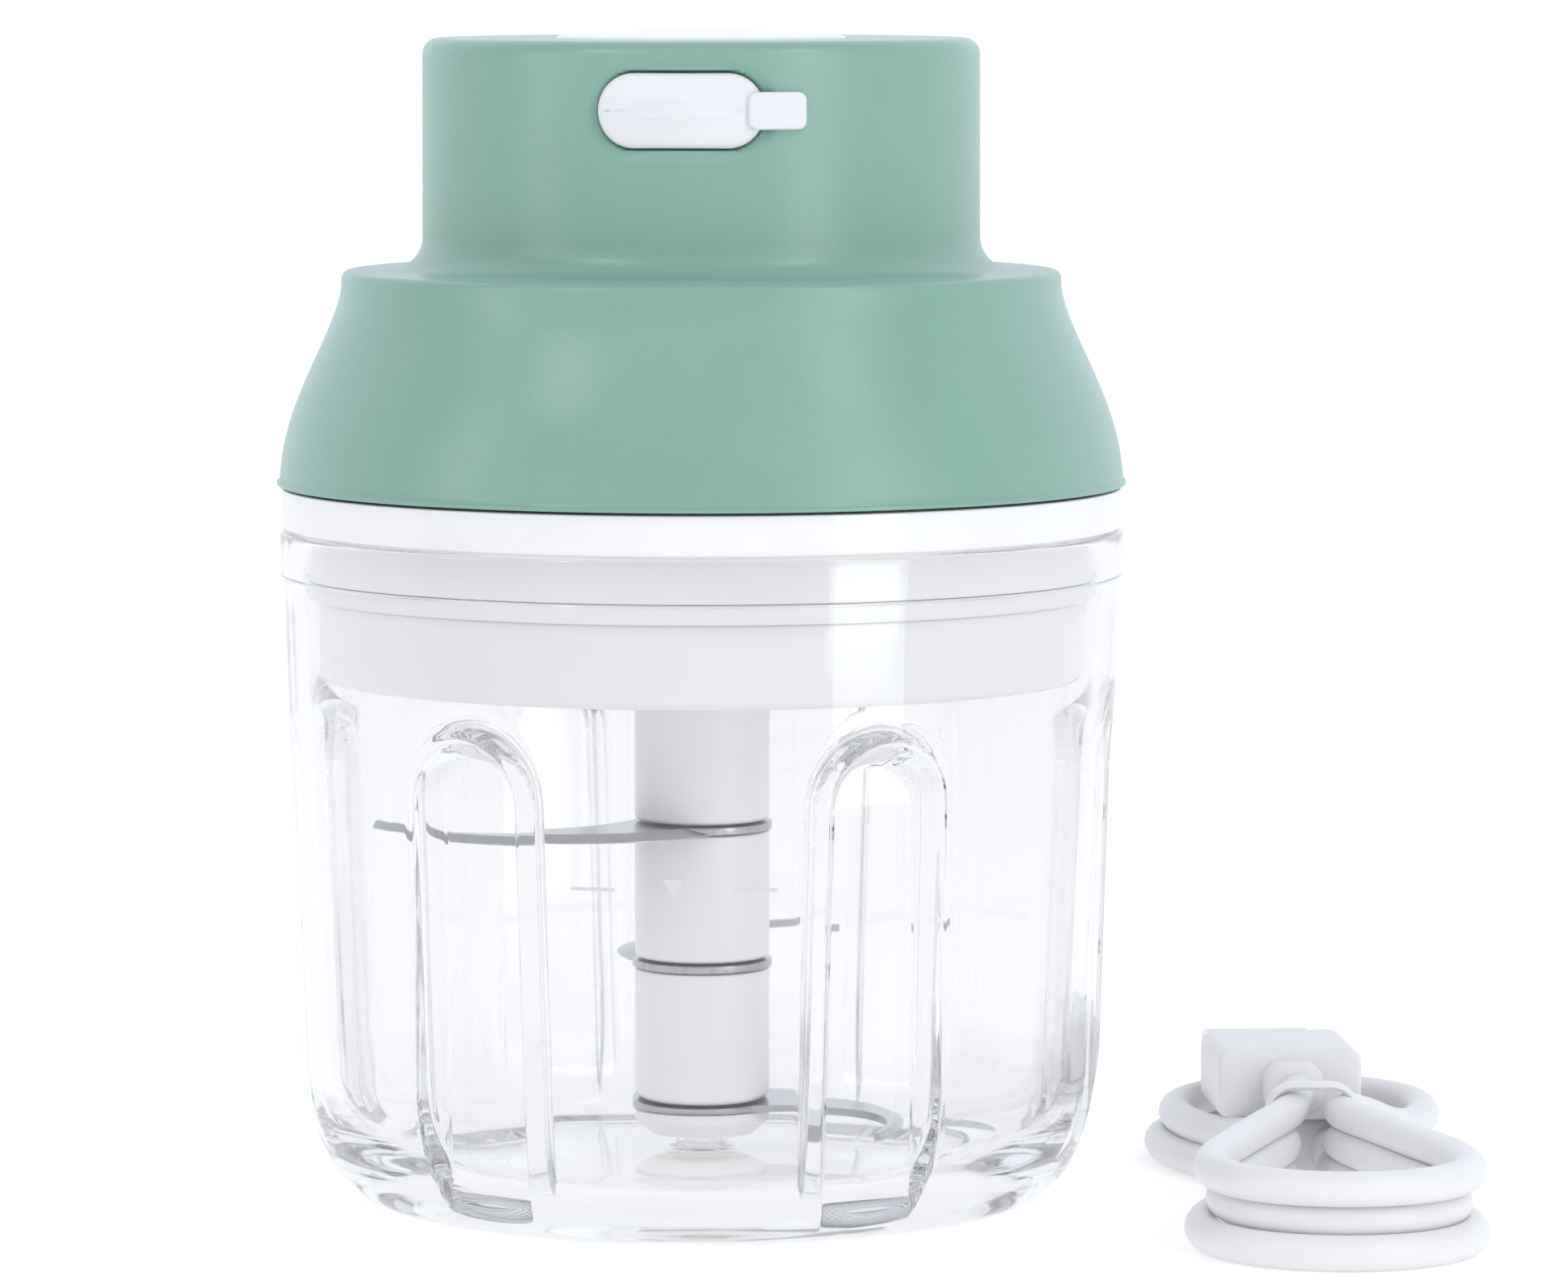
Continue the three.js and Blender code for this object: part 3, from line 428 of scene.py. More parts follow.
def revolve(name, line, material, angles=None, displace=None, closed=True, sharp=35):
    """Turns a line of (r, z), anticlockwise, about +Z. displace(r, z, angle, row) gives a new r."""
    angles = np.arange(0, TAU, TAU / 192) if angles is None else angles
    line = np.array(line)
    rows, columns = len(line), len(angles)
    r = np.repeat(line[:, :1], columns, 1)
    z = np.repeat(line[:, 1:], columns, 1)
    if displace:
        r = displace(r, z, np.repeat(angles[None], rows, 0), np.arange(rows)[:, None])
    grid = np.stack([r * np.cos(angles), r * np.sin(angles), z], 2).reshape(-1, 3)
    pole = [not closed and line[i, 0] < 1e-6 for i in (0, rows - 1)]
    index = np.arange(rows * columns).reshape(rows, columns)
    if pole[0]:
        index[0] = index[0, 0]
    if pole[1]:
        index[-1] = index[-1, 0]
    faces = []
    for i in range(rows if closed else rows - 1):
        low, high = index[i], index[(i + 1) % rows]
        for j in range(columns):
            k = (j + 1) % columns
            corners = [low[j], low[k], high[k], high[j]]
            faces.append(list(dict.fromkeys(map(int, corners))))
    used = sorted({v for f in faces for v in f})
    renumber = {v: i for i, v in enumerate(used)}
    return mesh_object(name, grid[used], [[renumber[v] for v in f] for f in faces], material, sharp)


def even_angles(count):
    """Columns for a plain round piece."""
    return np.arange(count) * (TAU / count)


def apply_modifiers(piece):
    """Bakes a piece's modifiers into its mesh."""
    graph = bpy.context.evaluated_depsgraph_get()
    done = bpy.data.meshes.new_from_object(piece.evaluated_get(graph))
    piece.modifiers.clear()
    piece.data = done
    return piece


def cut_with(piece, *tools):
    """Cuts closed meshes out of a piece."""
    for tool in tools:
        modifier = piece.modifiers.new("cut", "BOOLEAN")
        modifier.operation = "DIFFERENCE"
        modifier.solver = "EXACT"
        modifier.object = tool
    apply_modifiers(piece)
    for tool in tools:
        bpy.data.objects.remove(tool)
    return piece


def fix_normals(piece):
    """Turns every face of a closed piece outwards."""
    made = bmesh.new()
    made.from_mesh(piece.data)
    bmesh.ops.recalc_face_normals(made, faces=made.faces[:])
    made.to_mesh(piece.data)
    made.free()


def box_piece(name, low, high, material, radius=0.0, steps=3):
    """A box with rounded edges, in millimetres."""
    made = bmesh.new()
    bmesh.ops.create_cube(made, size=1)
    size, middle = Vector(high) - Vector(low), (Vector(high) + Vector(low)) / 2
    bmesh.ops.scale(made, vec=size, verts=made.verts)
    bmesh.ops.translate(made, vec=middle, verts=made.verts)
    if radius:
        edges = made.edges[:]
        bmesh.ops.bevel(made, geom=edges, offset=radius, segments=steps, profile=0.5, affect="EDGES")
    mesh = bpy.data.meshes.new(name)
    bmesh.ops.scale(made, vec=(MM, MM, MM), verts=made.verts)
    made.to_mesh(mesh)
    made.free()
    mesh.shade_smooth()
    mesh.set_sharp_from_angle(angle=math.radians(40))
    mesh.materials.append(MATERIAL[material])
    piece = bpy.data.objects.new(name, mesh)
    bpy.context.scene.collection.objects.link(piece)
    return piece


def pill_outline(width, height, steps=14, radius=None):
    """Points round a rounded rectangle, anticlockwise. Without a radius its ends are half circles."""
    radius = min(width, height) / 2 if radius is None else radius
    x, y = width / 2 - radius, height / 2 - radius
    out = []
    for quarter, (cx, cy) in enumerate([(x, y), (-x, y), (-x, -y), (x, -y)]):
        for k in range(steps + 1):
            a = math.radians(90 * quarter + 90 * k / steps)
            out.append((cx + radius * math.cos(a), cy + radius * math.sin(a)))
    return out


def smallest(a, b, blend):
    """The lower of two, rounded where they meet."""
    near = np.maximum(blend - np.abs(a - b), 0) / blend
    return np.minimum(a, b) - near * near * blend / 4


# ---------------------------------------------------------------- bowl
FLUTES = 6
FLUTE_TOP = 52.8
FLUTE_HALF = 6.9
FLUTE_FLOOR_HALF = 4.6
FLUTE_FLOOR_R = 40.4
FLUTE_LEAN = 1.7
FLUTE_SPREAD = 0.5
FLUTE_WALL = 2.8
BODY_TOP_R = 44.6
FLUTED_BELOW = 62
FLUTED_OUTSIDE = 30
FLUTE_SLOPE = (FLUTE_HALF - FLUTE_FLOOR_HALF) / (BODY_TOP_R - FLUTE_FLOOR_R)
RIM_BAND_Z = 66.9
SEAT_R = 42.5
SEAT_Z = 64.6
WALL_OUT_LOW = 43.2
CORNER_MID_R = 34
CORNER_RISE = 18
WALL_LOW_R = 40.1
FLOOR_Z = 2.8
POST_R = 2.85
POST_TOP = 13


def flute_surface(angle, z, floor, half):
    """Distance from the axis of a flute's surface, at an angle from the flute's middle."""
    angle = np.clip(np.abs(angle), 0, math.radians(25))
    side = np.tan(angle)
    above = np.maximum(z - (FLUTE_TOP - FLUTE_HALF), 0)
    start = half - FLUTE_SLOPE * floor
    a = side * side - FLUTE_SLOPE**2
    under = np.maximum((FLUTE_SLOPE * start) ** 2 - a * (above * above - start * start), 0)
    x = (FLUTE_SLOPE * start - np.sqrt(under)) / a
    return np.maximum(x, floor) / np.cos(angle)


def flute_floor(z):
    """Where a flute's floor is at a height, and half its width there. It leans in towards the foot."""
    down = 1 - np.clip(z / (FLUTE_TOP - FLUTE_HALF), 0, 1)
    return FLUTE_FLOOR_R - FLUTE_LEAN * down, FLUTE_FLOOR_HALF + FLUTE_SPREAD * down


def from_flute(theta):
    """Angle from the middle of the nearest flute."""
    pitch = TAU / FLUTES
    first = math.radians(-90) + pitch / 2
    return (theta - first + pitch / 2) % pitch - pitch / 2


def bowl_angles():
    """Columns that are close together over each flute's edges."""
    stops = [(-30, 2.0), (-13, 0.5), (-11, 0.22), (-6.5, 0.5)]
    stops += [(6.5, 0.22), (11, 0.5), (13, 2.0), (30, None)]
    sector = []
    for (start, step), (end, _) in zip(stops, stops[1:]):
        count = round((end - start) / step)
        sector += list(start + (end - start) * np.arange(count) / count)
    return np.radians(np.concatenate([np.array(sector) - 60 + 60 * i for i in range(FLUTES)]))


def bowl_line():
    """The bowl's section, from the middle of its underside out, up, over the rim and down to its post."""
    across = WALL_OUT_LOW - CORNER_MID_R
    turns = np.radians(np.linspace(-88, 0, 26))
    corner = [(CORNER_MID_R + across * math.cos(a), CORNER_RISE * (1 + math.sin(a))) for a in turns]
    floor = bezier((25, FLOOR_Z), (34, FLOOR_Z), (WALL_LOW_R - 0.4, 7), (WALL_LOW_R, 16), 18)
    outer = [(0, 0.8, 0), (29, 0.8, 0.3), (30.2, 0, 0.4), *[(r, z, 0) for r, z in corner]]
    outer += [(BODY_TOP_R, RIM_BAND_Z, 0.12), (RIM_R, RIM_BAND_Z + 0.12, 0.15), (RIM_R, RIM_Z, 0.45)]
    inner = [(SEAT_R, RIM_Z, 0.6), (SEAT_R, SEAT_Z, 0)]
    inner += [(r, z, 0) for r, z in reversed(floor)]
    post = [(POST_R, FLOOR_Z, 1.2), (POST_R, POST_TOP, 0.5), (0, POST_TOP, 0)]
    rounded = fillet(outer + inner + post, closed=False)

    def longest(r, z):
        if r > 36 and 41 < z < 55:
            return 0.45
        return 1.1 if r > 36 and z < 60 else 2.0

    return densify(rounded, longest, closed=False)


def make_bowl():
    """The clear bowl, its wall pressed in at six arched flutes."""
    line = bowl_line()
    rim_row = max(range(len(line)), key=lambda i: line[i][1])

    def displace(r, z, theta, row):
        angle = from_flute(theta)
        floor, half = flute_floor(z)
        outside = smallest(r, flute_surface(angle, z, floor, half), 0.8)
        inner_half = half + FLUTE_WALL * (1 - FLUTE_SLOPE)
        inside = smallest(r, flute_surface(angle, z, floor - FLUTE_WALL, inner_half), 2.2)
        moved = np.where(row <= rim_row, outside, inside)
        return np.where((r > FLUTED_OUTSIDE) & (z < FLUTED_BELOW), moved, r)

    bowl = revolve("bowl_clear", line, "clear", bowl_angles(), displace, closed=False, sharp=60)
    finish_piece(bowl, "bowl", "clear_plastic", "bowl")


MARK_Z = 38
MARK_TURN = -89.6
DASH_SHIFT = 8.4
DASH = ((-2.3, -0.17), (2.3, -0.17), (2.3, 0.17), (-2.3, 0.17))
ARROW = ((-1.1, 1.1), (1.1, 1.1), (0, -0.8))


def make_fill_mark():
    """Two dashes and a small triangle on the front of the bowl, a hair proud of its wall."""
    for number, (shift, outline) in enumerate(((-DASH_SHIFT, DASH), (0, ARROW), (DASH_SHIFT, DASH))):
        vertices = []
        for lift in (-0.05, 0.08):
            for u, v in outline:
                z = MARK_Z + v
                up = (z - CORNER_RISE) / (RIM_BAND_Z - CORNER_RISE)
                r = WALL_OUT_LOW + (BODY_TOP_R - WALL_OUT_LOW) * up + lift
                turn = math.radians(MARK_TURN) + (u + shift) / r
                vertices.append((r * math.cos(turn), r * math.sin(turn), z))
        n = len(outline)
        faces = [tuple(range(n))[::-1], tuple(range(n, 2 * n))]
        faces += [(i, (i + 1) % n, n + (i + 1) % n, n + i) for i in range(n)]
        mark = mesh_object(f"fill_mark_{number + 1}", vertices, faces, "mark", 30)
        finish_piece(mark, "bowl", "clear_plastic")



# ---------------------------------------------------------------- motor head
SHELL_SKIRT_Z = 76.6
NECK_R = 29.65
LEDGE_Z = 99.4
LEDGE_R = 38.3
PORT_W = 17.7
PORT_H = 7.75
TAB_REACH = 4.2
TAB_H = 3.9
PORT_FLOOR_Y = -26.9
BUTTON_R = 15.5


def shell_line():
    """The shell's closed section: up the skirt, over the ledge and neck, and back inside."""
    bottom = SHELL_SKIRT_Z
    skirt = bezier((LEDGE_R, LEDGE_Z - 1.4), (38.9, 92.5), (44.6, 86), (SKIRT_R - 0.3, bottom + 0.6), 28)
    points = [(SKIRT_R, bottom, 0.12), (SKIRT_R, bottom + 0.35, 0.1), (SKIRT_R - 0.3, bottom + 0.6, 0)]
    points += [(r, z, 0) for r, z in reversed(skirt[1:-1])]
    points += [(LEDGE_R, LEDGE_Z - 0.1, 0.8), (NECK_R + 0.05, LEDGE_Z + 0.25, 3.4), (NECK_R, TOP_Z, 1.7)]
    points += [(BUTTON_R + 0.4, TOP_Z, 0.35), (BUTTON_R + 0.4, TOP_Z - 2.2, 0.2)]
    points += [(NECK_R - 2.2, TOP_Z - 2.2, 1), (NECK_R - 2.2, 101.5, 0), (31.5, LEDGE_Z - 2.2, 1)]
    points += [(36, LEDGE_Z - 2.2, 1), (36.4, 96, 1), (42, 83.4, 1), (42.8, bottom, 0.2)]
    return fillet(points)



def pill_distance(u, v, width, height):
    """How far a point lies inside a pill's outline, on the unrolled neck."""
    straight = (width - height) / 2
    return height / 2 - np.hypot(np.maximum(np.abs(u) - straight, 0), v)


def shell_angles():
    """Columns that are close together across the port and wider apart elsewhere."""
    wide = np.arange(-22, 22.01, 0.35)
    rest = np.linspace(22, 338, 160)[1:-1]
    return np.radians(np.concatenate([wide, rest]) - 90)


def make_head_shell():
    """The green shell, with the port's recess dished into its neck and a slot for the socket."""
    def longest(r, z):
        if r > 26 and PORT_Z - 7 < z < PORT_Z + 6:
            return 0.3
        return 1.5

    line = densify(shell_line(), longest)
    inner_from = next(i for i, (r, z) in enumerate(line) if z < TOP_Z - 2 and r < BUTTON_R + 1)

    def displace(r, z, theta, row):
        angle = (theta + TAU / 4 + math.pi) % TAU - math.pi
        u = NECK_R * angle
        near = (np.abs(angle) < math.radians(30)) & (z > 105)
        inside = pill_distance(u, z - PORT_Z, PORT_W + 3.2, PORT_H + 3.2)
        hollow = np.clip(inside / 1.3, 0, 1)
        dish = 0.5 * hollow * hollow * (3 - 2 * hollow)
        deep = np.clip(pill_distance(u, z - PORT_Z, PORT_W + 0.5, PORT_H + 0.5) / 0.3, 0, 1)
        floor = -PORT_FLOOR_Y / np.cos(np.clip(angle, -0.5, 0.5))
        outer = (r - dish) * (1 - deep) + floor * deep
        pad = (np.abs(u) < 12.5) & (np.abs(z - PORT_Z) < 6.4)
        inner = np.where(pad, (-PORT_FLOOR_Y - 1.9) / np.cos(np.clip(angle, -0.5, 0.5)), r)
        moved = np.where(row < inner_from, outer, np.where(r > 26, inner, r))
        return np.where(near, moved, r)

    shell = revolve("head_shell_green", line, "green", shell_angles(), displace, sharp=50)
    slot = box_piece("slot_tool", (-4.2, -30, PORT_Z - 1.85), (4.2, -20, PORT_Z + 1.85), "green", 0.7)
    cut_with(shell, slot)
    finish_piece(shell, "head", "green_shell", "head_shell")


def on_neck(u, v, r):
    """A point of the unrolled neck, at a distance from the axis."""
    angle = u / NECK_R - TAU / 4
    return (r * math.cos(angle), r * math.sin(angle), v)


def pad_on_neck(name, outline, centre, low, high, edge, crown, material):
    """A pad on the unrolled neck: its outline, its back at low(u), its face at high, its edge rounded."""
    outline = np.array(outline)
    count = len(outline)
    layers = [(0.0, high - edge)]
    for a in np.radians(np.linspace(15, 90, 6)):
        layers.append((edge * (1 - math.cos(a)), high - edge * (1 - math.sin(a))))
    if crown:
        layers += [(edge + share * 3.0, high + crown * share) for share in (0.25, 0.5, 0.75)]
    normal = np.roll(outline, -1, 0) - np.roll(outline, 1, 0)
    normal = np.stack([-normal[:, 1], normal[:, 0]], 1) / np.linalg.norm(normal, axis=1)[:, None]
    limit = min(np.ptp(outline[:, 0]), np.ptp(outline[:, 1])) / 2 * 0.92
    vertices = [on_neck(u + centre[0], v + centre[1], low(u)) for u, v in outline]
    for inset, r in layers:
        ring = outline + normal * min(inset, limit)
        vertices += [on_neck(u + centre[0], v + centre[1], r) for u, v in ring]
    faces = []
    for i in range(len(layers)):
        for j in range(count):
            k = (j + 1) % count
            faces.append((i * count + j, i * count + k, (i + 1) * count + k, (i + 1) * count + j))
    faces.append(list(range(count - 1, -1, -1)))
    top = len(layers) * count
    faces.append(list(range(top, top + count)))
    return mesh_object(name, vertices, faces, material, sharp=50)


def make_port_cover():
    """The silicone pill in the port's recess, its pull tab and the small plug behind it."""

    def flat_back(u):
        return (-PORT_FLOOR_Y + 0.4) / math.cos(u / NECK_R)

    def tab_back(u):
        return NECK_R + 0.12

    outline = pill_outline(PORT_W, PORT_H)
    middle = (0, PORT_Z)
    lid = pad_on_neck("port_cover_lid", outline, middle, flat_back, NECK_R + 0.25, 0.7, 0.12, "silicone")
    start, end = PORT_W / 2 - 1.9, PORT_W / 2 + TAB_REACH
    outline = pill_outline(end - start, TAB_H, 6, 0.9)
    middle = ((start + end) / 2, PORT_Z)
    tab = pad_on_neck("port_cover_tab", outline, middle, tab_back, NECK_R + 0.85, 0.3, 0.0, "silicone")
    low, high = (-3.6, PORT_FLOOR_Y - 0.7, PORT_Z - 1.3), (3.6, PORT_FLOOR_Y, PORT_Z + 1.3)
    plug = box_piece("port_cover_plug", low, high, "silicone", 0.3)
    finish_piece(lid, "port_cover", "silicone", "port_cover")
    for piece in (tab, plug):
        finish_piece(piece, "port_cover", "silicone")


def make_button():
    """The push button, slightly domed, with a flange under the shell and a stem to the switch."""
    under = TOP_Z - 2.7
    rise = BUTTON_TOP - TOP_Z
    dome = [(BUTTON_R * k / 12, TOP_Z + rise * (1 - (k / 12) ** 2 * 0.62)) for k in range(11)]
    points = [(0, under - 1.4, 0), (2.5, under - 1.4, 0.2), (2.5, under, 0.2)]
    points += [(BUTTON_R - 1.5, under, 0.2), (BUTTON_R - 1.5, under - 1.5, 0.2)]
    points += [(BUTTON_R + 1.8, under - 1.5, 0.2), (BUTTON_R + 1.8, TOP_Z - 2.5, 0.2)]
    points += [(BUTTON_R, TOP_Z - 2.5, 0.2), (BUTTON_R, TOP_Z + 0.2, 0.5)]
    points += [(r, z, 0) for r, z in reversed(dome)]
    button = revolve("power_button_cap", fillet(points, closed=False), "white", closed=False, sharp=45)
    finish_piece(button, "button", "white_plastic", "power_button")


CUP_R = 41
CUP_NECK_R = 41.9
GROOVE_LOW = 64.9
GROOVE_HIGH = 67.1
FLANGE_LOW = 72.1
FLANGE_HIGH = 76.3
COLLAR_R = 8
CUP_WEB_Z = 61.3
SCREW_R = 33
SCREW_TURNS = (-90, 30, 150)


def make_lid_cup():
    """The milky cup: floor, wall, seal groove, flange and neck, with wells for its three screws."""
    floor = CUP_Z + 2.2
    web = CUP_WEB_Z
    points = [(COLLAR_R, CUP_Z, 0.4), (11, CUP_Z, 0.2), (11.6, CUP_Z + 0.5, 0.2)]
    points += [(CUP_R - 4.5, CUP_Z + 0.5, 0.2), (CUP_R - 4, CUP_Z, 0.2), (CUP_R, CUP_Z, 1.1)]
    points += [(CUP_R + 0.1, GROOVE_LOW, 0.3), (CUP_R - 1.2, GROOVE_LOW, 0.2)]
    points += [(CUP_R - 1.2, GROOVE_HIGH, 0.2), (CUP_NECK_R, GROOVE_HIGH, 0.3)]
    points += [(CUP_NECK_R, FLANGE_LOW, 0.2), (FLANGE_R, FLANGE_LOW, 0.35)]
    points += [(FLANGE_R, FLANGE_HIGH, 0.2), (CUP_NECK_R, FLANGE_HIGH, 0.1)]
    points += [(CUP_NECK_R, CUP_TOP, 0.3), (39.4, CUP_TOP, 0.3), (37.8, floor, 1)]
    points += [(COLLAR_R + 2, floor, 0.5), (COLLAR_R + 2, web + 2, 0.3), (6.3, web + 2, 0.3)]
    points += [(6.3, web, 0.2), (COLLAR_R, web, 0.5)]
    line = densify(fillet(points), lambda r, z: 4.0)
    cup = revolve("lid_cup_milky", line, "cup", sharp=40)
    tools = []
    for turn in SCREW_TURNS:
        x, y = SCREW_R * math.cos(math.radians(turn)), SCREW_R * math.sin(math.radians(turn))
        well = [(0, 50), (2.9, 50), (2.9, CUP_Z + 1.5), (1.6, CUP_Z + 1.5), (1.6, 60), (0, 60)]
        tool = revolve("well_tool", well, "cup", even_angles(32), closed=False)
        tool.location = (x * MM, y * MM, 0)
        tools.append(tool)
    bpy.context.view_layer.update()
    cut_with(cup, *tools)
    finish_piece(cup, "head", "cup_plastic", "lid_cup")


def make_seal():
    """The soft ring round the lid cup, its middle pressed against the bowl."""
    low, high, middle = SEAL_LOW.z - 0.25, SEAL_HIGH.z + 0.25, (SEAL_LOW.z + SEAL_HIGH.z) / 2
    outer = SEAL_HIGH.x
    points = [(CUP_R - 0.9, low, 0.1), (outer - 0.3, low, 0.2), (outer + 0.1, middle, 0.4)]
    points += [(outer - 0.3, high, 0.2), (CUP_R - 0.9, high, 0.1)]
    seal = revolve("lid_seal_ring", fillet(points), "seal")
    finish_piece(seal, "head", "silicone", "lid_seal")


# ---------------------------------------------------------------- blade stack
BLADE_T = 0.8
GRIND_W = 2.2
BORE_R = 5.25
# Node, how far the tip reaches from the axis, and the turn in degrees
BLADES = (("blade_top", 35.5, 185), ("blade_middle", 35.5, 71), ("blade_bottom", 30, 313))


def make_sleeves():
    """The white sleeves that space the blades."""
    for node in ("sleeve_top", "sleeve_upper", "sleeve_lower", "sleeve_foot"):
        low, high = node_box(node)
        foot = 5.4 if node == "sleeve_foot" else STACK_R
        points = [(BORE_R, low.z, 0.1), (foot, low.z, 0.5)]
        if node == "sleeve_foot":
            points.append((STACK_R, low.z + 2.3, 0.8))
        points += [(STACK_R, high.z, 0.25), (BORE_R, high.z, 0.1)]
        sleeve = revolve(node + "_white", fillet(points), "white", even_angles(96))
        finish_piece(sleeve, "blade_stack", "white_plastic", node)


def blade_edges(reach, steps):
    """The arm's leading and trailing edges, from the washer to the tip."""
    lead = bezier((-1, STACK_R), (0.25 * reach, 19), (0.68 * reach, 15), (reach, -0.6), steps)
    trail = bezier((5, -5.2), (0.34 * reach, 12), (0.73 * reach, 11), (reach - 0.6, -1.2), steps)
    return np.array(lead), np.array(trail)


def make_blade(node, reach, turn):
    """A ground sickle blade: flat underneath, its leading edge ground to a long bevel."""
    low, _ = node_box(node)
    steps = 48
    lead, trail = blade_edges(reach, steps)
    across = trail - lead
    width = np.linalg.norm(across, axis=1)
    grind = np.minimum(GRIND_W, width * 0.55) / width
    shoulder = lead + across * grind[:, None]
    z0, z1 = low.z, low.z + BLADE_T
    ground = z0 + 0.12
    outline = ((trail, z0), (lead, z0), (lead, ground), (shoulder, z1), (trail, z1))
    rings = np.stack([np.column_stack([edge, np.full(steps + 1, z)]) for edge, z in outline], 1)
    count = rings.shape[1]
    faces = []
    for i in range(steps):
        for k in range(count):
            n = (k + 1) % count
            faces.append((i * count + k, i * count + n, (i + 1) * count + n, (i + 1) * count + k))
    faces.append(tuple(range(count - 1, -1, -1)))
    faces.append(tuple(range(steps * count, (steps + 1) * count)))
    arm = mesh_object(node + "_arm", rings.reshape(-1, 3), faces, "steel", sharp=20)
    fix_normals(arm)
    rim = STACK_R + 0.25
    washer_line = [(BORE_R, z0, 0), (rim, z0, 0.1), (rim, z1, 0.1), (BORE_R, z1, 0)]
    washer = revolve(node + "_washer", fillet(washer_line), "steel", even_angles(96))
    bore_line = [(0, z0 - 1), (BORE_R, z0 - 1), (BORE_R, z1 + 1), (0, z1 + 1)]
    bore = revolve("bore_tool", bore_line, "steel", even_angles(96), closed=False)
    union = arm.modifiers.new("join", "BOOLEAN")
    union.operation, union.solver, union.object = "UNION", "EXACT", washer
    cut_with(arm, bore)
    bpy.data.objects.remove(washer)
    arm.data.shade_smooth()
    arm.data.set_sharp_from_angle(angle=math.radians(15))
    arm.data.transform(Matrix.Rotation(math.radians(turn), 4, "Z"))
    finish_piece(arm, "blade_stack", "blade_steel", node)


# ---------------------------------------------------------------- charging lead
CORD_D = 3.7
HANK_X, HANK_Y = 65.5, -2
HANK_TURN = math.radians(5)
PINCH = CORD_D / 2
LAYER_Z = (3.05, 6.4, 9.75)
SHELL_GAP = 0.3
# Each plug: its shell's section, its body's section, and where body, shell and tip start along it
USB_A = {
    "width": 12,
    "height": 4.5,
    "body_width": 15.6,
    "body_height": 7.8,
    "body": 12.2,
    "shell": 28.2,
    "tip": 40.8,
}
MICRO = {
    "width": 6.9,
    "height": 1.8,
    "body_width": 10.2,
    "body_height": 6.2,
    "body": 16.6,
    "shell": 31.8,
    "tip": 37.4,
}
# Where each plug lies in the hank: x, y, z and turn in degrees
USB_A_PLACE = (-0.6, 0, 10.75, 3)
MICRO_PLACE = (4.3, 0, 3.15, 0)
# Each loop: sideways shift of its middle, radius, and its height at its -X side, end and +X side
FAR_LOOPS = ((0, 14.3, 1.85, 1.85, 1.85), (1.25, 13.95, 5.1, 5.5, 5.4))
NEAR_LOOPS = ((0, 14.3, 1.85, 1.85, 1.85), (0.2, 12.2, 4.9, 4.9, 4.9), (0.3, 13.6, 8.2, 8.3, 8.3))
FAR_END, NEAR_END = 31.5, -31
TIE_W = 2.4


def lead_place(points):
    """Points of the hank's own frame, put where the hank lies."""
    turn = Matrix.Translation((HANK_X, HANK_Y, 0)) @ Matrix.Rotation(HANK_TURN, 4, "Z")
    return [turn @ Vector(p) for p in points]


def ease(t):
    """A slow start and a slow stop between 0 and 1."""
    return t * t * (3 - 2 * t)


def hank_side(side, loop, end, tie_z, loop_z):
    """From the tie along one side of a loop to where its round end starts."""
    shift, radius = loop[:2]
    reach = shift + side * radius
    tie = (side * PINCH, 0)
    line = bezier(tie, (side * (PINCH + 0.6), end * 0.17), (reach, end * 0.44), (reach, end), 26)
    out = []
    for x, y in line:
        climb = ease(min(1, max(0, (abs(y) - 3) / 13)))
        out.append((x, y, tie_z + (loop_z - tie_z) * climb))
    return out


def hank_loop(start_side, loop, end, tie_from, tie_to):
    """A whole loop: out from the tie on one side, round the hank's end and back on the other side."""
    shift, radius, left_z, end_z, right_z = loop
    sides = {-1: left_z, 1: right_z}
    out = hank_side(start_side, loop, end, tie_from, sides[start_side])
    steps = 34
    for k in range(1, steps):
        a = math.pi * k / steps
        x = shift + start_side * radius * math.cos(a)
        y = end + math.copysign(radius, end) * math.sin(a)
        near, far = sides[start_side], sides[-start_side]
        if 2 * k < steps:
            z = near + (end_z - near) * ease(2 * k / steps)
        else:
            z = end_z + (far - end_z) * ease(2 * k / steps - 1)
        out.append((x, y, z))
    return out + hank_side(-start_side, loop, end, tie_to, sides[-start_side])[::-1]


def cord_route():
    """The cord's centre line in the hank's frame, from the small plug to the large one."""
    low, mid, top = LAYER_Z
    relief = MICRO["body"] - 3.6
    x, _, z, _ = MICRO_PLACE
    route = [(x, relief + 0.4, z), (x, relief - 1.5, z)]
    route += bezier((x, relief - 3, z), (x, relief - 6, z), (PINCH, 5, low), (PINCH, 2, low), 8)
    route += hank_loop(1, NEAR_LOOPS[0], NEAR_END, low, low)
    route += hank_loop(-1, FAR_LOOPS[0], FAR_END, low, mid)
    route += hank_loop(1, NEAR_LOOPS[1], NEAR_END, mid, mid)
    route += hank_loop(-1, FAR_LOOPS[1], FAR_END, mid, top)
    route += hank_loop(1, NEAR_LOOPS[2], NEAR_END, top, top)
    x, _, z, turn = USB_A_PLACE
    slope = math.tan(math.radians(turn))
    start = USB_A["body"] - 4

    def on_axis(y):
        return (x - y * slope, y, z)

    route += bezier((-PINCH, 1, top), (-PINCH, 4, top + 0.1), on_axis(4.5), on_axis(start - 0.4), 6)
    route += [on_axis(start + 0.4)]
    return [Vector(p) for p in route]


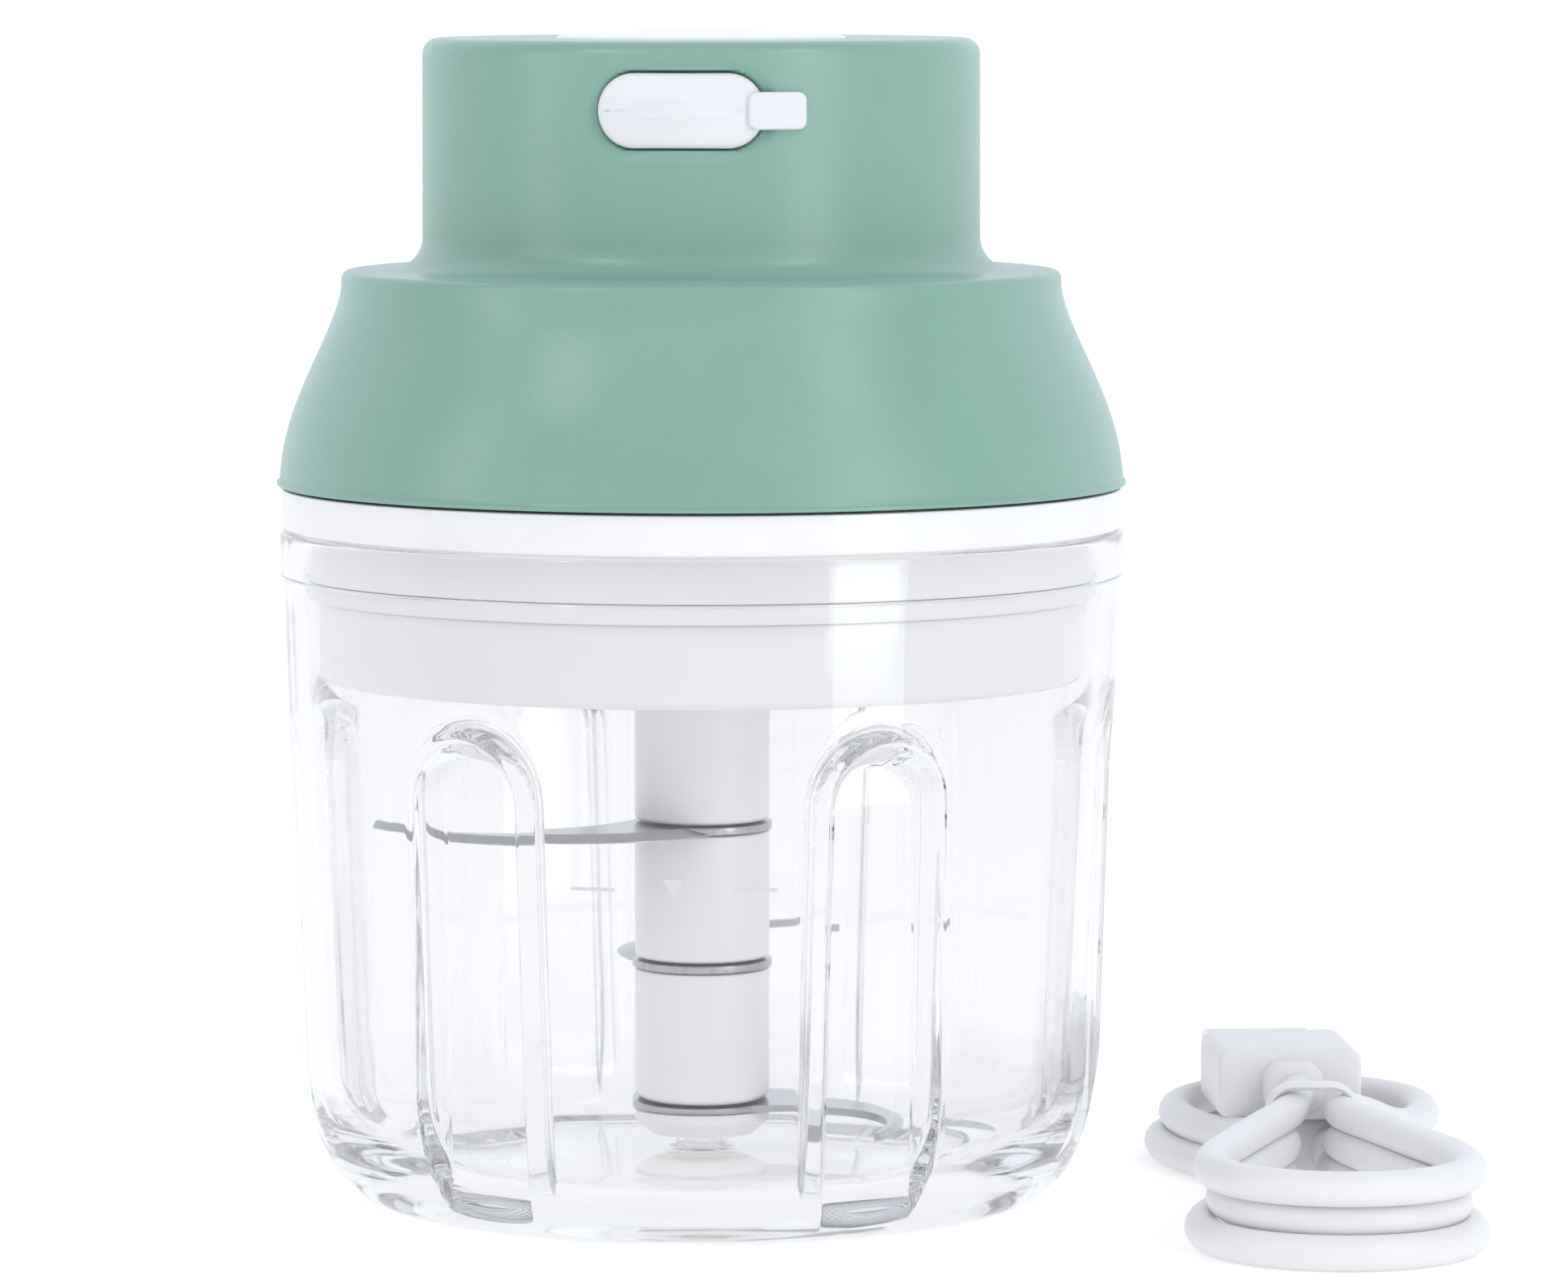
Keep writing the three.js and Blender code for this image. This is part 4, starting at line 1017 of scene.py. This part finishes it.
def smooth_route(route, step=1.5, passes=14):
    """Evenly spaced points along the route, eased so that nothing kinks."""
    line = np.array(route)
    keep = np.concatenate([[True], np.linalg.norm(np.diff(line, axis=0), axis=1) > 0.05])
    line = line[keep]
    along = np.concatenate([[0], np.cumsum(np.linalg.norm(np.diff(line, axis=0), axis=1))])
    count = int(along[-1] / step)
    spots = np.linspace(0, along[-1], count)
    line = np.stack([np.interp(spots, along, line[:, i]) for i in range(3)], 1)
    for _ in range(passes):
        line[2:-2] = line[2:-2] * 0.5 + (line[1:-3] + line[3:-1]) * 0.25
    return line


def make_cord():
    """The cord as one tube. Returns it with the place where it leaves the small plug, and its length."""
    line = lead_place(smooth_route(cord_route()))
    curve = bpy.data.curves.new("charging_cord", "CURVE")
    curve.dimensions = "3D"
    curve.bevel_depth = CORD_D / 2 * MM
    curve.bevel_resolution = 6
    curve.use_fill_caps = True
    spline = curve.splines.new("POLY")
    spline.points.add(len(line) - 1)
    for point, place in zip(spline.points, line):
        point.co = (*(place * MM), 1)
    curve.materials.append(MATERIAL["jacket"])
    cord = bpy.data.objects.new("charging_cord", curve)
    bpy.context.scene.collection.objects.link(cord)
    finish_piece(cord, "charging_lead", "cord_jacket", "lead_hank")
    length = sum((b - a).length for a, b in zip(line, line[1:])) * MM
    return cord, line[0] * MM, length


def loft(name, sections, material, sharp=40):
    """A closed form along +Y: sections are (y, width, height, corner radius)."""
    vertices, faces = [], []
    for y, width, height, radius in sections:
        outline = pill_outline(width, height, 5, radius)
        vertices += [(u, y, v) for u, v in outline]
    count = len(outline)
    for i in range(len(sections) - 1):
        for j in range(count):
            k = (j + 1) % count
            faces.append((i * count + k, i * count + j, (i + 1) * count + j, (i + 1) * count + k))
    faces.append(list(range(count)))
    top = (len(sections) - 1) * count
    faces.append(list(range(top + count - 1, top - 1, -1)))
    piece = mesh_object(name, vertices, faces, material, sharp)
    fix_normals(piece)
    return piece


def rounded_body(y0, y1, width, height, corner, edge):
    """Sections of a moulded body whose two end edges are rounded too."""
    ends = []
    for a in np.radians(np.linspace(0, 90, 5)):
        inset = edge * (1 - math.sin(a))
        back = edge * (1 - math.cos(a))
        ends.append((back, width - 2 * inset, height - 2 * inset, corner - inset * 0.8))
    first = [(y0 + back, *size) for back, *size in ends]
    return first + [(y1 - back, *size) for back, *size in ends[::-1]]


def settle(piece, place):
    """Moves a plug piece from its own frame to where it lies in the hank."""
    x, y, z, turn = place
    lies = Matrix.Translation((HANK_X * MM, HANK_Y * MM, 0)) @ Matrix.Rotation(HANK_TURN, 4, "Z")
    lies = lies @ Matrix.Translation((x * MM, y * MM, z * MM))
    lies = lies @ Matrix.Rotation(math.radians(turn), 4, "Z")
    piece.data.transform(lies)
    return piece


def plug_body(name, plug, relief_size, corner, place, node):
    """A plug's moulded grip, with the short sleeve that eases the cord into it."""
    start = plug["body"]
    wide, tall = relief_size
    relief = [(start - 3.9, wide - 1.2, tall - 1.0, 1.6), (start - 3.7, wide - 0.4, tall - 0.3, 1.8)]
    relief += [(start - 3.2, wide, tall, 1.9), (start - 0.1, wide, tall, 1.9)]
    body = rounded_body(start, plug["shell"], plug["body_width"], plug["body_height"], corner, 0.7)
    piece = loft(name, relief + body, "jacket")
    return finish_piece(settle(piece, place), "charging_lead", "cord_jacket", node)


def plug_shell(name, plug, wall, place, node, look, cuts):
    """A plug's thin metal shell, open at its tip."""
    wide, tall, tip = plug["width"], plug["height"], plug["tip"]
    corner = 0.5
    outside = [(plug["shell"] - 0.3 + SHELL_GAP, wide, tall, corner), (tip - 0.15, wide, tall, corner)]
    outside += [(tip, wide - 0.2, tall - 0.2, corner)]
    inside = [(y, wide - 2 * wall, tall - 2 * wall, corner / 2) for y in (plug["shell"] + 1, tip + 1)]
    outer = loft(name, outside, look)
    inner = loft("shell_tool", inside, look)
    cut_with(outer, inner, *cuts)
    outer.data.set_sharp_from_angle(angle=math.radians(35))
    return finish_piece(settle(outer, place), "charging_lead", "plated_steel", node)


def make_usb_a():
    """The large plug: grip, shell with two windows and a stamped mark, tongue and four contacts."""
    shell, tip = USB_A["shell"], USB_A["tip"]
    y = shell + 6
    windows = [((x - 1.2, y, 1), (x + 1.2, y + 2.2, 4)) for x in (-3.4, 3.4)]
    cuts = [box_piece("window_tool", low, high, "nickel") for low, high in windows]
    stamp = loft("stamp_tool", [(-1, 2.6, 1.1, 0.5), (1, 2.6, 1.1, 0.5)], "nickel")
    upright = Matrix.Rotation(math.pi / 2, 4, "X")
    stamp.data.transform(Matrix.Translation((0, (shell + 2.6) * MM, 2.25 * MM)) @ upright)
    body = plug_body("usb_a_overmould", USB_A, (6.2, 5.6), 1.5, USB_A_PLACE, "usb_a_body")
    sleeve = plug_shell("usb_a_sleeve", USB_A, 0.32, USB_A_PLACE, "usb_a_shell", "nickel", [*cuts, stamp])
    low, high = (-5.2, shell + 1.3, -1.5), (5.2, tip - 0.6, 0.05)
    tongue = box_piece("usb_a_tongue", low, high, "white", 0.15, 2)
    finish_piece(settle(tongue, USB_A_PLACE), "charging_lead", "white_plastic", "usb_a_insert")
    pieces = [body, sleeve, tongue]
    for i, x in enumerate((-3.5, -1.0, 1.0, 3.5)):
        low, high = (x - 0.5, y - 3, 0.0), (x + 0.5, tip - 1.2, 0.15)
        contact = box_piece(f"usb_a_contact_{i + 1}", low, high, "gold", 0.05, 1)
        pieces.append(finish_piece(settle(contact, USB_A_PLACE), "charging_lead", "plated_steel"))
    return pieces


def make_micro_usb():
    """The small plug: grip and shell with its two latch slots."""
    y = MICRO["shell"]
    body = plug_body("micro_usb_overmould", MICRO, (5.4, 5.0), 1.4, MICRO_PLACE, "micro_usb_body")
    latches = [((x - 0.35, y + 1.4, 0.5), (x + 0.35, y + 3.6, 2)) for x in (-1.7, 1.7)]
    slots = [box_piece("slot_tool", low, high, "gold") for low, high in latches]
    sleeve = plug_shell("micro_usb_sleeve", MICRO, 0.28, MICRO_PLACE, "micro_usb_shell", "gold", slots)
    return [body, sleeve]


def make_tie():
    """A flat plastic tie round the waist of the hank, its end sticking out."""
    middle = (LAYER_Z[0] - PINCH + LAYER_Z[2] + PINCH) / 2
    outline = pill_outline(2 * CORD_D + 1.7, LAYER_Z[2] - LAYER_Z[0] + CORD_D + 1.7, 8, 2.5)
    count = len(outline)
    vertices, faces = [], []
    side, shoulder = TIE_W / 2, TIE_W / 2 - 0.35
    profile = [(-side, 0.0), (-shoulder, 0.42), (shoulder, 0.42)]
    profile += [(side, 0.0), (shoulder, -0.38), (-shoulder, -0.38)]
    normal = np.roll(outline, -1, 0) - np.roll(outline, 1, 0)
    normal = np.stack([normal[:, 1], -normal[:, 0]], 1) / np.linalg.norm(normal, axis=1)[:, None]
    for (u, v), (nu, nv) in zip(outline, normal):
        vertices += [(u + nu * out, along, v + nv * out + middle) for along, out in profile]
    sides = len(profile)
    for i in range(count):
        n = (i + 1) % count
        for j in range(sides):
            k = (j + 1) % sides
            faces.append((i * sides + j, i * sides + k, n * sides + k, n * sides + j))
    band = mesh_object("lead_tie_band", vertices, faces, "jacket", 50)
    fix_normals(band)
    settle(band, (0, 0, 0, 0))
    finish_piece(band, "charging_lead", "cord_jacket", "lead_tie")
    strip = [(0, 0.8, 2.2, 0.35), (3.2, 0.75, 2.2, 0.35), (6.2, 0.7, 2.0, 0.3)]
    tail = loft("lead_tie_tail", strip, "jacket")
    lean = Matrix.Rotation(math.radians(148), 4, "Z") @ Matrix.Rotation(math.radians(-14), 4, "X")
    tail.data.transform(Matrix.Translation((-5.0 * MM, -0.6 * MM, 8.6 * MM)) @ lean)
    settle(tail, (0, 0, 0, 0))
    finish_piece(tail, "charging_lead", "cord_jacket")
    return [band, tail]


def make_lead():
    """The whole lead: the cord, both plugs and the tie."""
    cord, start, length = make_cord()
    pieces = make_usb_a() + make_micro_usb() + make_tie()


# ---------------------------------------------------------------- everything
make_camera()
make_world()
make_floor()
for lamp in SOFTBOXES:
    softbox(*lamp)
set_up_render()

paint_cad_nodes()
make_bowl()
make_fill_mark()
make_head_shell()
make_port_cover()
make_button()
make_lid_cup()
make_seal()
make_sleeves()
for blade in BLADES:
    make_blade(*blade)
make_lead()
